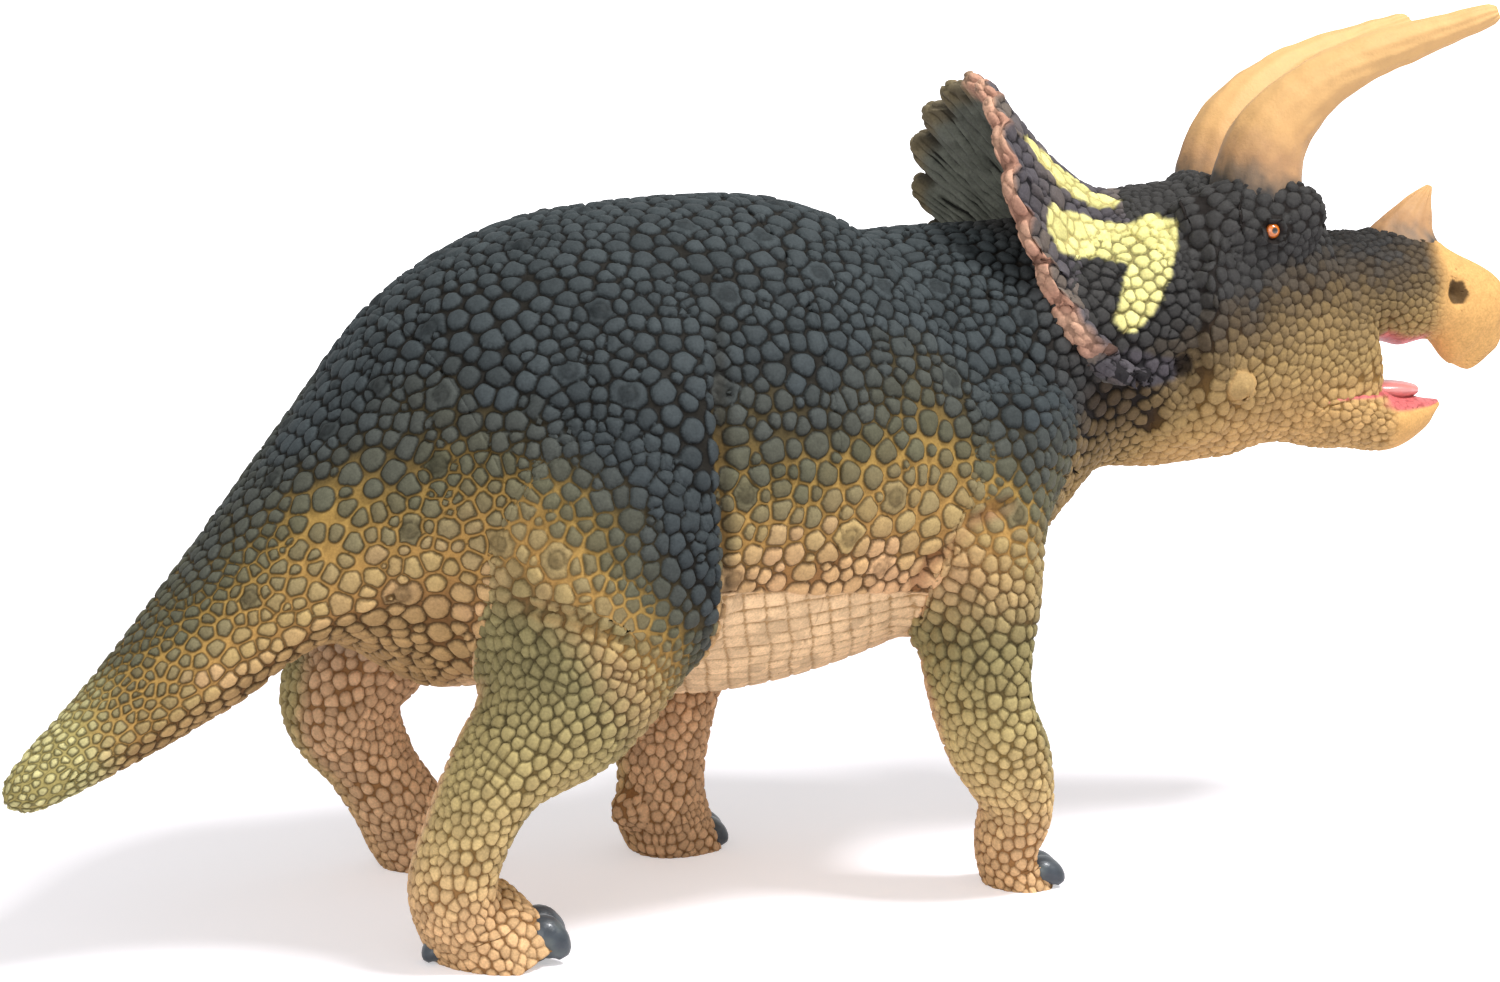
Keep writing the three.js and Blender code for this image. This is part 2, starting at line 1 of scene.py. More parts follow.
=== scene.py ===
"""Looks of the toy horned dinosaur figure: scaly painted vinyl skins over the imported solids.

Every skin is a grid of points worked out with numpy in the figure's own millimetres. Skins that
run into each other are blended, one pattern of scales is laid over all of them, and each vertex
carries its paint, the paint of its creases and its distance to the nearest crease.
"""

import math

import bpy
import numpy as np
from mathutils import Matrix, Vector


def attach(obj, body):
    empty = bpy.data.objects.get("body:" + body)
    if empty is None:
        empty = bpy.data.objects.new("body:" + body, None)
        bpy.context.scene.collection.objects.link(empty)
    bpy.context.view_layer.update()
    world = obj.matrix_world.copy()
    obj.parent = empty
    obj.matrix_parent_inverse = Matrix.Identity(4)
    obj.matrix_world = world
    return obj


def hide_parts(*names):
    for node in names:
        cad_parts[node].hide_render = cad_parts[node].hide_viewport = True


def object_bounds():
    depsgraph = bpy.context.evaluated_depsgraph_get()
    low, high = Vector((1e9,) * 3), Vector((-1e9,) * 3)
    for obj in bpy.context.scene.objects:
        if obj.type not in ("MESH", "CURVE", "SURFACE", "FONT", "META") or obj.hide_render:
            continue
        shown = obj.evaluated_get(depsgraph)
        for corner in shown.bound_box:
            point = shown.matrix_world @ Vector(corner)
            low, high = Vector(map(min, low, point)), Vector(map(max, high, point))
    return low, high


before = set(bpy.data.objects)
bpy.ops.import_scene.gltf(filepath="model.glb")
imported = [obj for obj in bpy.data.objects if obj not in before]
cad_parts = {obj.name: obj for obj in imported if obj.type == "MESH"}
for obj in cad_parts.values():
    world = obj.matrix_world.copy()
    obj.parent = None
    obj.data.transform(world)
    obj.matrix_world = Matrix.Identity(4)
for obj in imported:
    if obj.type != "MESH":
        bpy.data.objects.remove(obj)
solid_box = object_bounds()

# The figure's own frame, in millimetres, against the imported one
SHIFT = np.array([6.275, -0.48, 0.0])
METRES = 0.001
COARSER = 1.0
FORM_STEP, FINE_FORM_STEP, TONGUE_STEP, CLAW_STEP = 1.3, 0.8, 0.6, 0.3
CURVE_SAMPLES = 1200
LATTICE = 64  # values each way in a table of noise
dice = np.random.default_rng(7)
UP = np.array([0.0, 0.0, 1.0])
AHEAD = np.array([1.0, 0.0, 0.0])


# Curves and grids

def unit(v):
    """Vectors over their own lengths."""
    return v / np.maximum(np.linalg.norm(v, axis=-1, keepdims=True), 1e-9)


def rise(x, low, high):
    """A smooth step from 0 at low to 1 at high: 3 t^2 - 2 t^3 of the share t between them."""
    t = np.clip((x - low) / (high - low), 0, 1)
    return t * t * (3 - 2 * t)


def bell(x, width):
    """A bell curve of a value: 1 at 0, and nearly nothing two widths away."""
    return np.exp(-((x / width) ** 2))


def curve(rows, at):
    """A Catmull-Rom curve through the rows of a table, at shares of its length in rows."""
    rows = np.asarray(rows, float)
    ends = np.vstack([2 * rows[0] - rows[1], rows, 2 * rows[-1] - rows[-2]])
    place = np.clip(at, 0, 1) * (len(rows) - 1)
    i = np.minimum(place.astype(int), len(rows) - 2)
    f = (place - i)[..., None]
    a, b, c, d = (ends[i + k] for k in range(4))
    return b + 0.5 * f * (c - a + f * (2 * a - 5 * b + 4 * c - d + f * (3 * (b - c) + d - a)))


def even_shares(rows, step):
    """Shares of a table's curve that lie a step apart along its path."""
    dense = np.linspace(0, 1, CURVE_SAMPLES)
    path = curve(rows, dense)[:, :3]
    length = np.concatenate([[0], np.cumsum(np.linalg.norm(np.diff(path, axis=0), axis=1))])
    count = max(8, int(math.ceil(length[-1] / step)) + 1)
    return np.interp(np.linspace(0, length[-1], count), length, dense)


def loft(rows, over=UP, step=FORM_STEP, outline=None, widest=None, ease=0):
    """Sections square to a path: centre + sideways * width * cos(angle) + upward * height *
    sin(angle), where the height over the path differs from the depth under it. Where a path bends
    under tall sections, its direction is averaged over that many sections either way."""
    rows = np.asarray(rows, float)
    at = even_shares(rows, step)
    row = curve(rows, at)
    nudge = 1e-3
    along = unit(curve(rows, at + nudge)[:, :3] - curve(rows, at - nudge)[:, :3])
    padded = np.pad(along, ((ease, ease), (0, 0)), "edge")
    along = unit(sum(padded[k:k + len(along)] for k in range(2 * ease + 1)))
    upward = unit(over - along * (along @ over)[:, None])
    sideways = np.cross(along, upward)
    sides = int(round(2 * math.pi * (widest or rows[:, 3:6].max()) / step / 4)) * 4
    angle = 2 * math.pi * np.arange(max(sides, 12)) / max(sides, 12)
    shape = outline(angle, row[:, 6:7]) if outline else 1.0
    wide = np.maximum(row[:, 3:4], 0.2) * shape * np.cos(angle)
    reach = np.where(np.sin(angle) > 0, row[:, 4:5], row[:, 5:6])
    tall = np.maximum(reach, 0.2) * shape * np.sin(angle)
    centre = row[:, None, :3]
    return centre + sideways[:, None] * wide[..., None] + upward[:, None] * tall[..., None]


def slopes(p):
    """Steps from point to point of a grid: along it, and around it, where its columns close."""
    return np.gradient(p, axis=0), (np.roll(p, -1, axis=1) - np.roll(p, 1, axis=1)) / 2


def normals(p):
    """Outward normals of a grid: the step along it times the step around it."""
    return unit(np.cross(*slopes(p)))


def distance(p, place, stretch=1):
    """Distance of points to a place, once each axis is stretched."""
    return np.linalg.norm((p - place) * stretch, axis=-1)


def spread(count, finer, closed):
    """The matrix that carries a row of values to a finer row by Catmull-Rom weights."""
    place = np.arange(finer) * count / finer if closed else np.linspace(0, count - 1, finer)
    i = place.astype(int) if closed else np.minimum(place.astype(int), count - 2)
    f = place - i
    weights = [
        0.5 * (-f + 2 * f**2 - f**3), 1 + 0.5 * (-5 * f**2 + 3 * f**3),
        0.5 * (f + 4 * f**2 - 3 * f**3), 0.5 * (f**3 - f**2)]
    matrix = np.zeros((finer, count))
    for k, weight in enumerate(weights):
        column = i + k - 1
        column = column % count if closed else np.clip(column, 0, count - 1)
        np.add.at(matrix, (np.arange(finer), column), weight)
    return matrix


def noise(p, size, seed):
    """Smooth noise from -1 to 1: random values on a lattice of that size, eased between corners."""
    table = np.random.default_rng(seed).uniform(-1, 1, (LATTICE,) * 3)
    q = p / size + 1000.0
    i = np.floor(q).astype(int)
    f = q - i
    f = f * f * (3 - 2 * f)
    total = 0
    for corner in np.ndindex(2, 2, 2):
        j = (i + corner) % LATTICE
        weight = np.prod(np.where(np.array(corner) == 1, f, 1 - f), axis=-1)
        total = total + weight * table[j[..., 0], j[..., 1], j[..., 2]]
    return total


def off_chain(p, chain):
    """Distance of points to a chain of balls with tapered stretches between them: the least over
    the stretches of the distance to the nearest point less the radius there, if any is given."""
    chain = np.pad(chain, ((0, 0), (0, 4 - chain.shape[1])))
    best = np.full(p.shape[:-1], 1e3)
    for start, end in zip(chain[:-1], chain[1:]):
        along = end[:3] - start[:3]
        share = np.clip(((p - start[:3]) @ along) / (along @ along), 0, 1)[..., None]
        ball = start + share * (end - start)
        best = np.minimum(best, np.linalg.norm(p - ball[..., :3], axis=-1) - ball[..., 3])
    return best


# Sizes shared with the solids: tables of shares in thousandths, and what they are shares of

def scaled(thousandths, sizes, place=(0, 0, 0)):
    """A table of shares, in thousandths, times its sizes, moved to a place."""
    table = np.array(thousandths) / 1000
    table[:, :len(sizes)] *= sizes
    table[:, :3] += place
    return table


BODY_SIZES = (130, 30, 85, 30, 60, 60)
BODY_ROWS = scaled([
    [173, 0, 706, 650, 360, 333], [112, 0, 653, 767, 425, 375], [38, 0, 629, 900, 475, 425],
    [-62, 0, 624, 983, 522, 475], [-169, 0, 624, 1017, 527, 483], [-269, 0, 612, 983, 517, 425],
    [-362, 0, 582, 867, 450, 358], [-446, 0, 541, 667, 322, 320], [-535, -17, 482, 467, 215, 100],
    [-623, -40, 407, 333, 140, 100], [-708, -80, 334, 220, 82, 82], [-773, -127, 278, 140, 57, 53],
    [-798, -147, 259, 93, 40, 38], [-810, -157, 252, 33, 15, 15],
], BODY_SIZES)
COLLAR = BODY_ROWS[0, :3]
NECK_SIZES = (26, 26, 26, 19, 19, 19)
NECK_ROWS = scaled([
    [346, 0, 154, 921, 842, 947], [692, -46, 231, 842, 737, 895], [1077, -115, 277, 763, 632, 842],
], NECK_SIZES, COLLAR)
TRUNK_ROWS = np.vstack([NECK_ROWS[::-1], BODY_ROWS])
HIND_JOINT, HIND_HEIGHT, THIGH = -38, 60, 14
FRONT_JOINT, FRONT_HEIGHT, UPPER_ARM = 14, 56, 13
STANCE = 22
LEG_SHARES = {
    "leg_hind_right": [
        [33, 545, 1000, 929, 1000, 1000, 0], [-33, 864, 833, 893, 1143, 929, 0],
        [-67, 1000, 667, 821, 1093, 786, 0], [-132, 1045, 500, 700, 729, 629, 0],
        [-247, 1023, 367, 543, 300, 429, 0], [-300, 955, 250, 457, 271, 371, 0],
        [-310, 864, 150, 486, 314, 400, 0], [-277, 818, 75, 557, 457, 414, 500],
        [-233, 864, -20, 571, 529, 357, 1000],
    ],
    "leg_hind_left": [
        [33, 545, 1000, 929, 1000, 1000, 0], [-33, 864, 833, 893, 1036, 929, 0],
        [-117, 1045, 633, 821, 893, 757, 0], [-203, 1114, 467, 664, 679, 564, 0],
        [-233, 1114, 350, 536, 536, 543, 0], [-183, 1105, 233, 436, 436, 371, 0],
        [-117, 1109, 140, 421, 400, 400, 0], [-77, 1145, 73, 443, 457, 414, 500],
        [-43, 1200, -13, 443, 500, 329, 1000],
    ],
    "leg_front_right": [
        [0, 545, 1000, 1000, 1000, 923, 0], [-27, 773, 821, 885, 738, 923, 0],
        [-18, 932, 643, 769, 369, 723, 0], [-21, 1000, 482, 638, 169, 638, 0],
        [18, 1000, 339, 569, 308, 585, 0], [57, 955, 205, 446, 277, 385, 0],
        [61, 864, 116, 400, 200, 338, 0], [71, 809, 57, 385, 231, 308, 500],
        [86, 818, -14, 385, 277, 246, 1000],
    ],
    "leg_front_left": [
        [0, 545, 1000, 1000, 1000, 923, 0], [-107, 727, 786, 846, 885, 900, 0],
        [-232, 818, 607, 754, 585, 769, 0], [-375, 809, 429, 600, 323, 600, 0],
        [-452, 750, 286, 538, 377, 531, 0], [-473, 736, 179, 446, 415, 431, 0],
        [-468, 773, 98, 492, 446, 431, 300], [-446, 827, 50, 508, 431, 415, 700],
        [-411, 864, -18, 477, 385, 338, 1000],
    ],
}
TOE_SPREAD = math.radians(42)
TOE_WIDTH = 0.45 * TOE_SPREAD
TOE_REACH = 0.16

HEAD_PLACE = COLLAR + np.array([0.52 * NECK_SIZES[0], 0, 0])
HEAD_YAW = math.radians(-15)
HEAD_ROLL = math.radians(-6.5)
SKULL_SIZES = np.array([58, 15, 36, 15, 36, 36])
SKULL_ROWS = scaled([
    [34, 0, 119, 800, 306, 417], [138, 0, 139, 933, 415, 489], [267, 0, 172, 1020, 460, 506],
    [379, 0, 181, 973, 481, 500], [500, 0, 167, 800, 422, 444], [595, 0, 167, 633, 350, 425],
    [664, 0, 208, 547, 258, 172], [767, 0, 222, 480, 200, 178], [862, 0, 194, 373, 175, 144],
    [936, 0, 128, 280, 167, 180], [975, 0, 78, 147, 100, 150], [997, 0, 64, 60, 33, 50],
], SKULL_SIZES)
JAW_ROWS = scaled([
    [0, 0, 0, 1081, 356, 456], [280, 0, -44, 1000, 333, 511], [549, 0, -156, 851, 367, 467],
    [800, 0, -89, 554, 256, 300], [931, 0, -11, 297, 122, 133], [1000, 0, 33, 108, 56, 56],
], (16.8, 7.4, 9, 7.4, 9, 9), np.array([0.56, 0, -0.172]) * SKULL_SIZES[:3])
TONGUE_ROWS = scaled([
    [0, 0, 0, 700, 350, 350], [250, 0, 50, 1000, 500, 500], [650, 0, 20, 950, 460, 500],
    [920, 0, -20, 600, 300, 300], [1000, 0, -40, 250, 120, 120],
], (8, 3.8, 2.6, 3.8, 2.6, 2.6), np.array([0.665, 0, -0.113]) * SKULL_SIZES[:3])
BROW_HORN_ROWS = scaled([
    [-21, -21, -102, 1000, 1016, 1016], [31, 28, 260, 820, 840, 840],
    [159, 69, 500, 660, 670, 670], [383, 124, 710, 510, 520, 520], [683, 193, 861, 375, 385, 385],
    [952, 269, 977, 250, 258, 258], [1000, 286, 1000, 141, 148, 148],
], (29, 29, 21.5, 6.2, 6.2, 6.2), np.array([0.4, 0.51, 0.597]) * SKULL_SIZES[:3])
NOSE_HORN_ROWS = scaled([
    [0, 0, 0, 638, 936, 1043], [60, 0, 300, 511, 787, 936], [200, 0, 620, 319, 489, 532],
    [340, 0, 850, 170, 191, 234], [380, 0, 920, 85, 85, 85],
], (10, 10, 10, 4.7, 4.7, 4.7), np.array([0.776, 0, 0.347]) * SKULL_SIZES[:3])
BROW_PLACE = np.array([0.345, 0.63, 0.458]) * SKULL_SIZES[:3]
BROW_RADII = np.array([1.6, 0.77, 1]) * 6.5
FRILL_SIZES = (58, 20.3, 36)
FRILL_EDGE = scaled([
    [-175, 0, 985], [-185, 279, 966], [-197, 558, 914], [-207, 800, 833], [-207, 953, 715],
    [-193, 1000, 575], [-159, 1000, 430], [-124, 963, 323], [-76, 902, 188], [-14, 870, 51],
    [67, 885, -50],
], FRILL_SIZES)
FRILL_ROOT = scaled([
    [216, 0, 560], [216, 167, 545], [216, 307, 497], [216, 409, 415], [212, 474, 296],
    [207, 512, 215], [203, 526, 134], [200, 521, 54], [200, 502, -27], [203, 474, -108],
    [210, 437, -188],
], FRILL_SIZES)
FRILL_LUMPS = 17
FRILL_SINK = 0.2
FRILL_LEAN = (0.6, 0.8)
FRILL_ROOT_THICKNESS, FRILL_EDGE_THICKNESS, FRILL_LUMP = 5, 2.4, 1.8
FRILL_ARCH, FRILL_FACE, FRILL_BEND = 110, 26, 5  # rough lengths over the arch, a face and the rim
TAPER_START, TAPER_LENGTH, TAPER_LEAST = 0.93, 0.07, 0.1


def mirrored(rows):
    """A table on the other side of the middle plane."""
    return rows * np.where(np.arange(rows.shape[1]) == 1, -1, 1)


def head_turn():
    """The head's turn as a matrix: rolled about its own axis, then turned about the upright."""
    cr, sr = math.cos(HEAD_ROLL), math.sin(HEAD_ROLL)
    cy, sy = math.cos(HEAD_YAW), math.sin(HEAD_YAW)
    roll = np.array([[1, 0, 0], [0, cr, -sr], [0, sr, cr]])
    yaw = np.array([[cy, -sy, 0], [sy, cy, 0], [0, 0, 1]])
    return yaw @ roll


HEAD_TURN = head_turn()


def turned_head(p):
    """Points of the head's own frame in the figure's."""
    return p @ HEAD_TURN.T + HEAD_PLACE


def in_head(p):
    """Points of the figure's frame in the head's own."""
    return (p - HEAD_PLACE) @ HEAD_TURN


# Forms

def toe_outline(angle, toe):
    """A section's outline with three lobes in front, each a bell curve round its toe."""
    turn = angle - math.pi / 2
    lobes = sum(bell(turn - centre, TOE_WIDTH) for centre in (-TOE_SPREAD, 0, TOE_SPREAD))
    return 1 + TOE_REACH * toe * lobes


def leg_rows(name):
    """A leg's sections in millimetres, from inside the body to the sole."""
    hind = "hind" in name
    joint, height, radius = (
        (HIND_JOINT, HIND_HEIGHT, THIGH) if hind else (FRONT_JOINT, FRONT_HEIGHT, UPPER_ARM))
    rows = scaled(LEG_SHARES[name], (height, STANCE, height, radius, radius, radius), (joint, 0, 0))
    crown = rows[0] * [1, 0.8, 1, 0.35, 0.35, 0.35, 1] + [0, 0, 6, 0, 0, 0, 0]
    rows = np.vstack([crown, rows])
    return mirrored(rows) if "right" in name else rows


def frill_form(step):
    """The frill as a closed sheet. Across runs over the arch, and around runs up the front face,
    over the rim in a half circle and down the back face, each at half the sheet's thickness."""
    across = np.linspace(0, 1, int(FRILL_ARCH / step))
    half = abs(2 * across - 1)
    side = np.sign(across - 0.5)
    edge = curve(FRILL_EDGE, half)
    root = curve(FRILL_ROOT, half)
    edge[:, 1] *= side
    root[:, 1] *= side
    outward = unit(root * [0, 1, 1])
    face = np.linspace(0, 1, int(FRILL_FACE / step))
    bend = np.linspace(0, math.pi, max(5, int(FRILL_BEND / step)))[1:-1]
    out = np.concatenate([face, np.ones(len(bend)), face[::-1]])
    offset = np.concatenate([np.ones(len(face)), np.cos(bend), -np.ones(len(face))])
    past = np.concatenate([0 * face, np.sin(bend), 0 * face])
    ray = edge - root
    reach = np.linalg.norm(ray, axis=1)
    thick = FRILL_ROOT_THICKNESS + (FRILL_EDGE_THICKNESS - FRILL_ROOT_THICKNESS) * out
    lump = FRILL_LUMP * abs(np.sin(math.pi * FRILL_LUMPS * across))[:, None] * out**4
    sink = FRILL_SINK * reach[:, None] * np.sin(math.pi * out)
    lean = FRILL_LEAN[0] * AHEAD + FRILL_LEAN[1] * outward
    middle = root[:, None] + ray[:, None] * out[:, None]
    middle = middle + unit(ray)[:, None] * (lump + (past - 0.5) * thick / 2)[..., None]
    middle = middle - outward[:, None] * sink[..., None]
    sheet = middle + lean[:, None] * (offset * thick / 2)[:, None]
    taper = np.sqrt(1 - np.clip((half - TAPER_START) / TAPER_LENGTH, 0, 1) ** 2)[:, None, None]
    return root[:, None] + (sheet - root[:, None]) * np.maximum(taper, TAPER_LEAST)


forms = {"trunk": loft(TRUNK_ROWS, widest=28, ease=7)}
for leg in LEG_SHARES:
    forms[leg] = loft(leg_rows(leg), over=AHEAD, outline=toe_outline, widest=11)
jaw_root = JAW_ROWS[0] * [1, 1, 1, 0.7, 0.6, 0.6] - [6, 0, -1, 0, 0, 0]
for name, form in {
        "skull": loft(SKULL_ROWS), "frill": frill_form(FINE_FORM_STEP),
        "nose_horn": loft(NOSE_HORN_ROWS, AHEAD, FINE_FORM_STEP),
        "brow_horn_right": loft(mirrored(BROW_HORN_ROWS), AHEAD, FINE_FORM_STEP),
        "brow_horn_left": loft(BROW_HORN_ROWS, AHEAD, FINE_FORM_STEP),
        "lower_jaw": loft(np.vstack([jaw_root, JAW_ROWS]), step=FINE_FORM_STEP),
        "tongue": loft(TONGUE_ROWS, step=TONGUE_STEP)}.items():
    forms[name] = turned_head(form)


def swelling(p, n, centre, radii, soft):
    """How far points inside an ellipsoid lie from its surface along their normals. With q the
    offset from its centre over its radii, the surface is (1 - |q|) |q| / |q / radii| away, and a
    smooth maximum with nothing rounds the edge of the swelling."""
    q = (p - centre) / radii
    far = np.maximum(np.linalg.norm(q, axis=-1), 1e-6)
    steep = np.maximum(np.linalg.norm(q / radii, axis=-1), 1e-6)
    facing = np.clip((n * (q / radii)).sum(-1) / steep, 0.35, 1)
    out = (1 - far) * far / steep / facing
    return np.where(out > soft, out, np.maximum(out + soft, 0) ** 2 / (4 * soft))


def both_sides(place):
    """A place of the head's frame and its mirror image."""
    return [np.array(place) * [1, side, 1] for side in (1, -1)]


EYE = (23, 14.1, 16.7)
NOSTRIL = (50.3, 5.5, 8.1)
EAR = (10.7, 14.7, 0.6)
CHEEK_BLOCK, CHEEK_RADII = (18.2, 12.6, -2.2), np.array([2.7, 2.7, 2.5])
TOE_SHARE, CLAW_SHARE = 0.62, 0.7  # how far out on the sole's reach toes and claws sit
TOE_RADII = {"hind": np.array([3.2, 2.6, 3.4]), "front": np.array([2.0, 1.8, 2.0])}


def toe_places(leg, out):
    """Places round the front of a foot, at a share of its sole's reach."""
    x, y, _, wide, front = leg_rows(leg)[-1, :5]
    return [np.array([x + out * front * math.cos(turn), y + out * wide * math.sin(turn), 0])
            for turn in (-TOE_SPREAD, 0, TOE_SPREAD)]


# Ellipsoids that stand out of a skin: centre, radii and softness, the skull's in the head's frame
SWELLINGS = {
    "skull": [(centre, BROW_RADII, 1.2) for centre in both_sides(BROW_PLACE)]
    + [(centre, CHEEK_RADII, 0.5) for centre in both_sides(CHEEK_BLOCK)]}
for leg in LEG_SHARES:
    radii = TOE_RADII["hind" if "hind" in leg else "front"]
    SWELLINGS[leg] = [(place + [0, 0, 0.5 * radii[2]], radii, 0.5)
                      for place in toe_places(leg, TOE_SHARE)]
SWELLINGS["leg_front_left"].append((np.array([-16.2, 15, 6.4]), np.array([3.6, 2.8, 3.2]), 0.6))

# Which skins run into each other, and how wide the fillet between them is
BLENDS = {("trunk", leg): 6 if "hind" in leg else 4 for leg in LEG_SHARES} | {
    ("trunk", "skull"): 4, ("trunk", "frill"): 2.5, ("skull", "frill"): 5,
    ("skull", "nose_horn"): 3, ("skull", "lower_jaw"): 3,
}
BLEND_TURNS = 12
UNBLENDED_DEPTH = 9.0
BATCH = 1500  # points compared at a time


def height_over(p, other, other_normals, step):
    """How far points lie outside another skin, and how its normals turn from theirs."""
    flat = other.reshape(-1, 3).astype(np.float32)
    squares = (flat**2).sum(1)
    nearest = np.concatenate([
        np.argmin(squares - 2 * chunk.astype(np.float32) @ flat.T, axis=1)
        for chunk in np.array_split(p, max(1, len(p) // BATCH))])
    away = p - flat[nearest]
    normal = other_normals.reshape(-1, 3)[nearest]
    over = (away * normal).sum(1)
    distance = np.linalg.norm(away, axis=1)
    aside = np.maximum(np.sqrt(np.maximum(distance**2 - over**2, 0)) - step, 0)
    return np.where(over > 0, np.hypot(over, aside), over + aside), normal


def blended(forms):
    """Every form moved out along its normals where it nears another, by the smooth minimum of
    their distances: the sum of h^2 / 4k, where h is k less the difference of the two."""
    turned = {name: normals(p) for name, p in forms.items()}
    moved, hidden = {}, {}
    for name, p in forms.items():
        flat, mine = p.reshape(-1, 3), turned[name].reshape(-1, 3)
        near = []
        for pair, fillet in BLENDS.items():
            if name in pair:
                other = pair[1] if pair[0] == name else pair[0]
                over, theirs = height_over(flat, forms[other], turned[other], FORM_STEP)
                near.append((fillet, over, (mine * theirs).sum(1)))
        out = np.zeros(len(flat))
        for _ in range(BLEND_TURNS):
            rises = [np.clip(k - (over + (c - 1) * out), 0, k) ** 2 / (4 * k) for k, over, c in near]
            out = 0.5 * out + 0.5 * sum(rises) if rises else out
        deep = np.min([over for _, over, _ in near], axis=0) if near else np.full(
            len(flat), UNBLENDED_DEPTH)
        moved[name] = (flat + mine * out[:, None]).reshape(p.shape)
        hidden[name] = deep.reshape(p.shape[:2])
    return moved, hidden


forms, depths = blended(forms)
# The frill's two ends run on into the skull and close there
inside_skull = turned_head(np.array([16, 0, 4]))
ends = rise(abs(np.linspace(-1, 1, len(forms["frill"]))), 0.955, 1)[:, None, None]
forms["frill"] = forms["frill"] + (inside_skull - forms["frill"]) * 0.6 * ends


# Fine grids

# Spacing of a skin's vertices, in millimetres
STEPS = {"trunk": 0.42} | {leg: 0.32 if "right" in leg else 0.36 for leg in LEG_SHARES} | {
    "skull": 0.3, "frill": 0.38, "nose_horn": 0.4, "lower_jaw": 0.3, "tongue": 0.3,
    "brow_horn_right": 0.5, "brow_horn_left": 0.5}
NORMAL_WEIGHT = 2.5  # millimetres that opposite faces of a sheet count as apart, for each unit
ON_HEAD = ("skull", "lower_jaw", "frill", "trunk")

# Folds, as the points that each runs through: the haunch's and the armpit's on the right side, and
# the cheek's on the left in the head's frame
HAUNCH_HEIGHTS = [33, 41.4, 53.5, 64.7, 75.2, 80.2]
HAUNCH_FRONT = [-27.5, -28, -29, -28.2, -25.7, -24.4]
ARMPIT = np.array([
    [11.3, -27.8, 49.1], [7, -26.8, 47.6], [4.6, -25.8, 44.5], [2, -25.4, 42.7], [1, -24.3, 40.2],
    [2.8, -20.4, 35.6]])
CHEEK_FOLD = np.array([
    [9.6, 15.2, 4.5], [11.5, 15, 2.2], [14, 14, -1.5], [16.5, 12, -4.6], [17, 9, -7.5]])
SEAM_SINK, SEAM_DEPTH = 0.15, 4  # how fast, and down to what depth, a skin sinks under its neighbour


def behind_haunch(p):
    """How far points lie behind the haunch's front edge."""
    return np.interp(p[..., 2], HAUNCH_HEIGHTS, HAUNCH_FRONT) - p[..., 0]


def right_side(p):
    """Points of either side, as if on the right."""
    return p * [1, 0, 1] - abs(p) * [0, 1, 0]


def left_side(p):
    """Points of either side, as if on the left."""
    return p * [1, 0, 1] + abs(p) * [0, 1, 0]


def folds(skin):
    """Folds, lids and pits of a skin, as heights along its normals."""
    p = skin.p
    x, z = p[..., 0], p[..., 2]
    out = np.zeros(skin.shape)
    flank = skin.name == "trunk" or "leg" in skin.name
    if flank and "front" not in skin.name:
        behind = behind_haunch(p)
        shown = rise(z, 34, 42) * (1 - rise(z, 66, 79)) * rise(abs(p[..., 1]), 12, 19)
        swell = 1.2 * rise(behind, -1.0, 1.6) * (1 - rise(behind, 6, 17))
        out += shown * (swell - 0.5 * bell(behind + 0.9, 1.1))
        above = z - np.interp(x, [-52, -47.7, -44.2, -41.4], [43.4, 42.4, 40.8, 39.0])
        along = rise(x, -54, -50) * (1 - rise(x, -43, -38)) * rise(abs(p[..., 1]), 20, 25)
        swell = 1.1 * rise(above, -0.8, 0.8) * (1 - rise(above, 2, 9))
        out += along * (swell - 0.6 * bell(above + 0.6, 0.9))
    if flank and "hind" not in skin.name:
        out -= 1.1 * bell(off_chain(right_side(p), ARMPIT), 1.0)
    if skin.name in ON_HEAD:
        q = left_side(in_head(p))
        out -= 0.5 * bell(off_chain(q, CHEEK_FOLD), 0.6)
        far = distance(q, EYE, [1, 0.7, 1.15])
        out += 0.55 * bell(far - 1.75, 0.5) - 0.7 * bell(far, 1.0)
        out -= 1.6 * bell(distance(q, NOSTRIL, [1.1, 0.6, 0.75]), 1.1)
        out -= 1.5 * bell(distance(q, EAR, [1.1, 1, 0.7]), 1.0)
    if skin.name == "frill":
        rim = bell(skin.turn - 0.5, 0.06)
        knob = 1.3 * rise(in_head(p)[..., 1], -6, 2) - 0.6
        out += rim * knob * (abs(np.sin(math.pi * FRILL_LUMPS * skin.along)) - 0.6)
        low = rise(abs(2 * skin.along - 1), 0.72, 0.86)
        out += 1.3 * low * bell(skin.turn - 0.5, 0.16)
    if skin.name == "tongue":
        q = in_head(p)
        out -= 0.45 * bell(q[..., 1], 0.5) * rise(skin.n[..., 2], 0.2, 0.8)
    return out


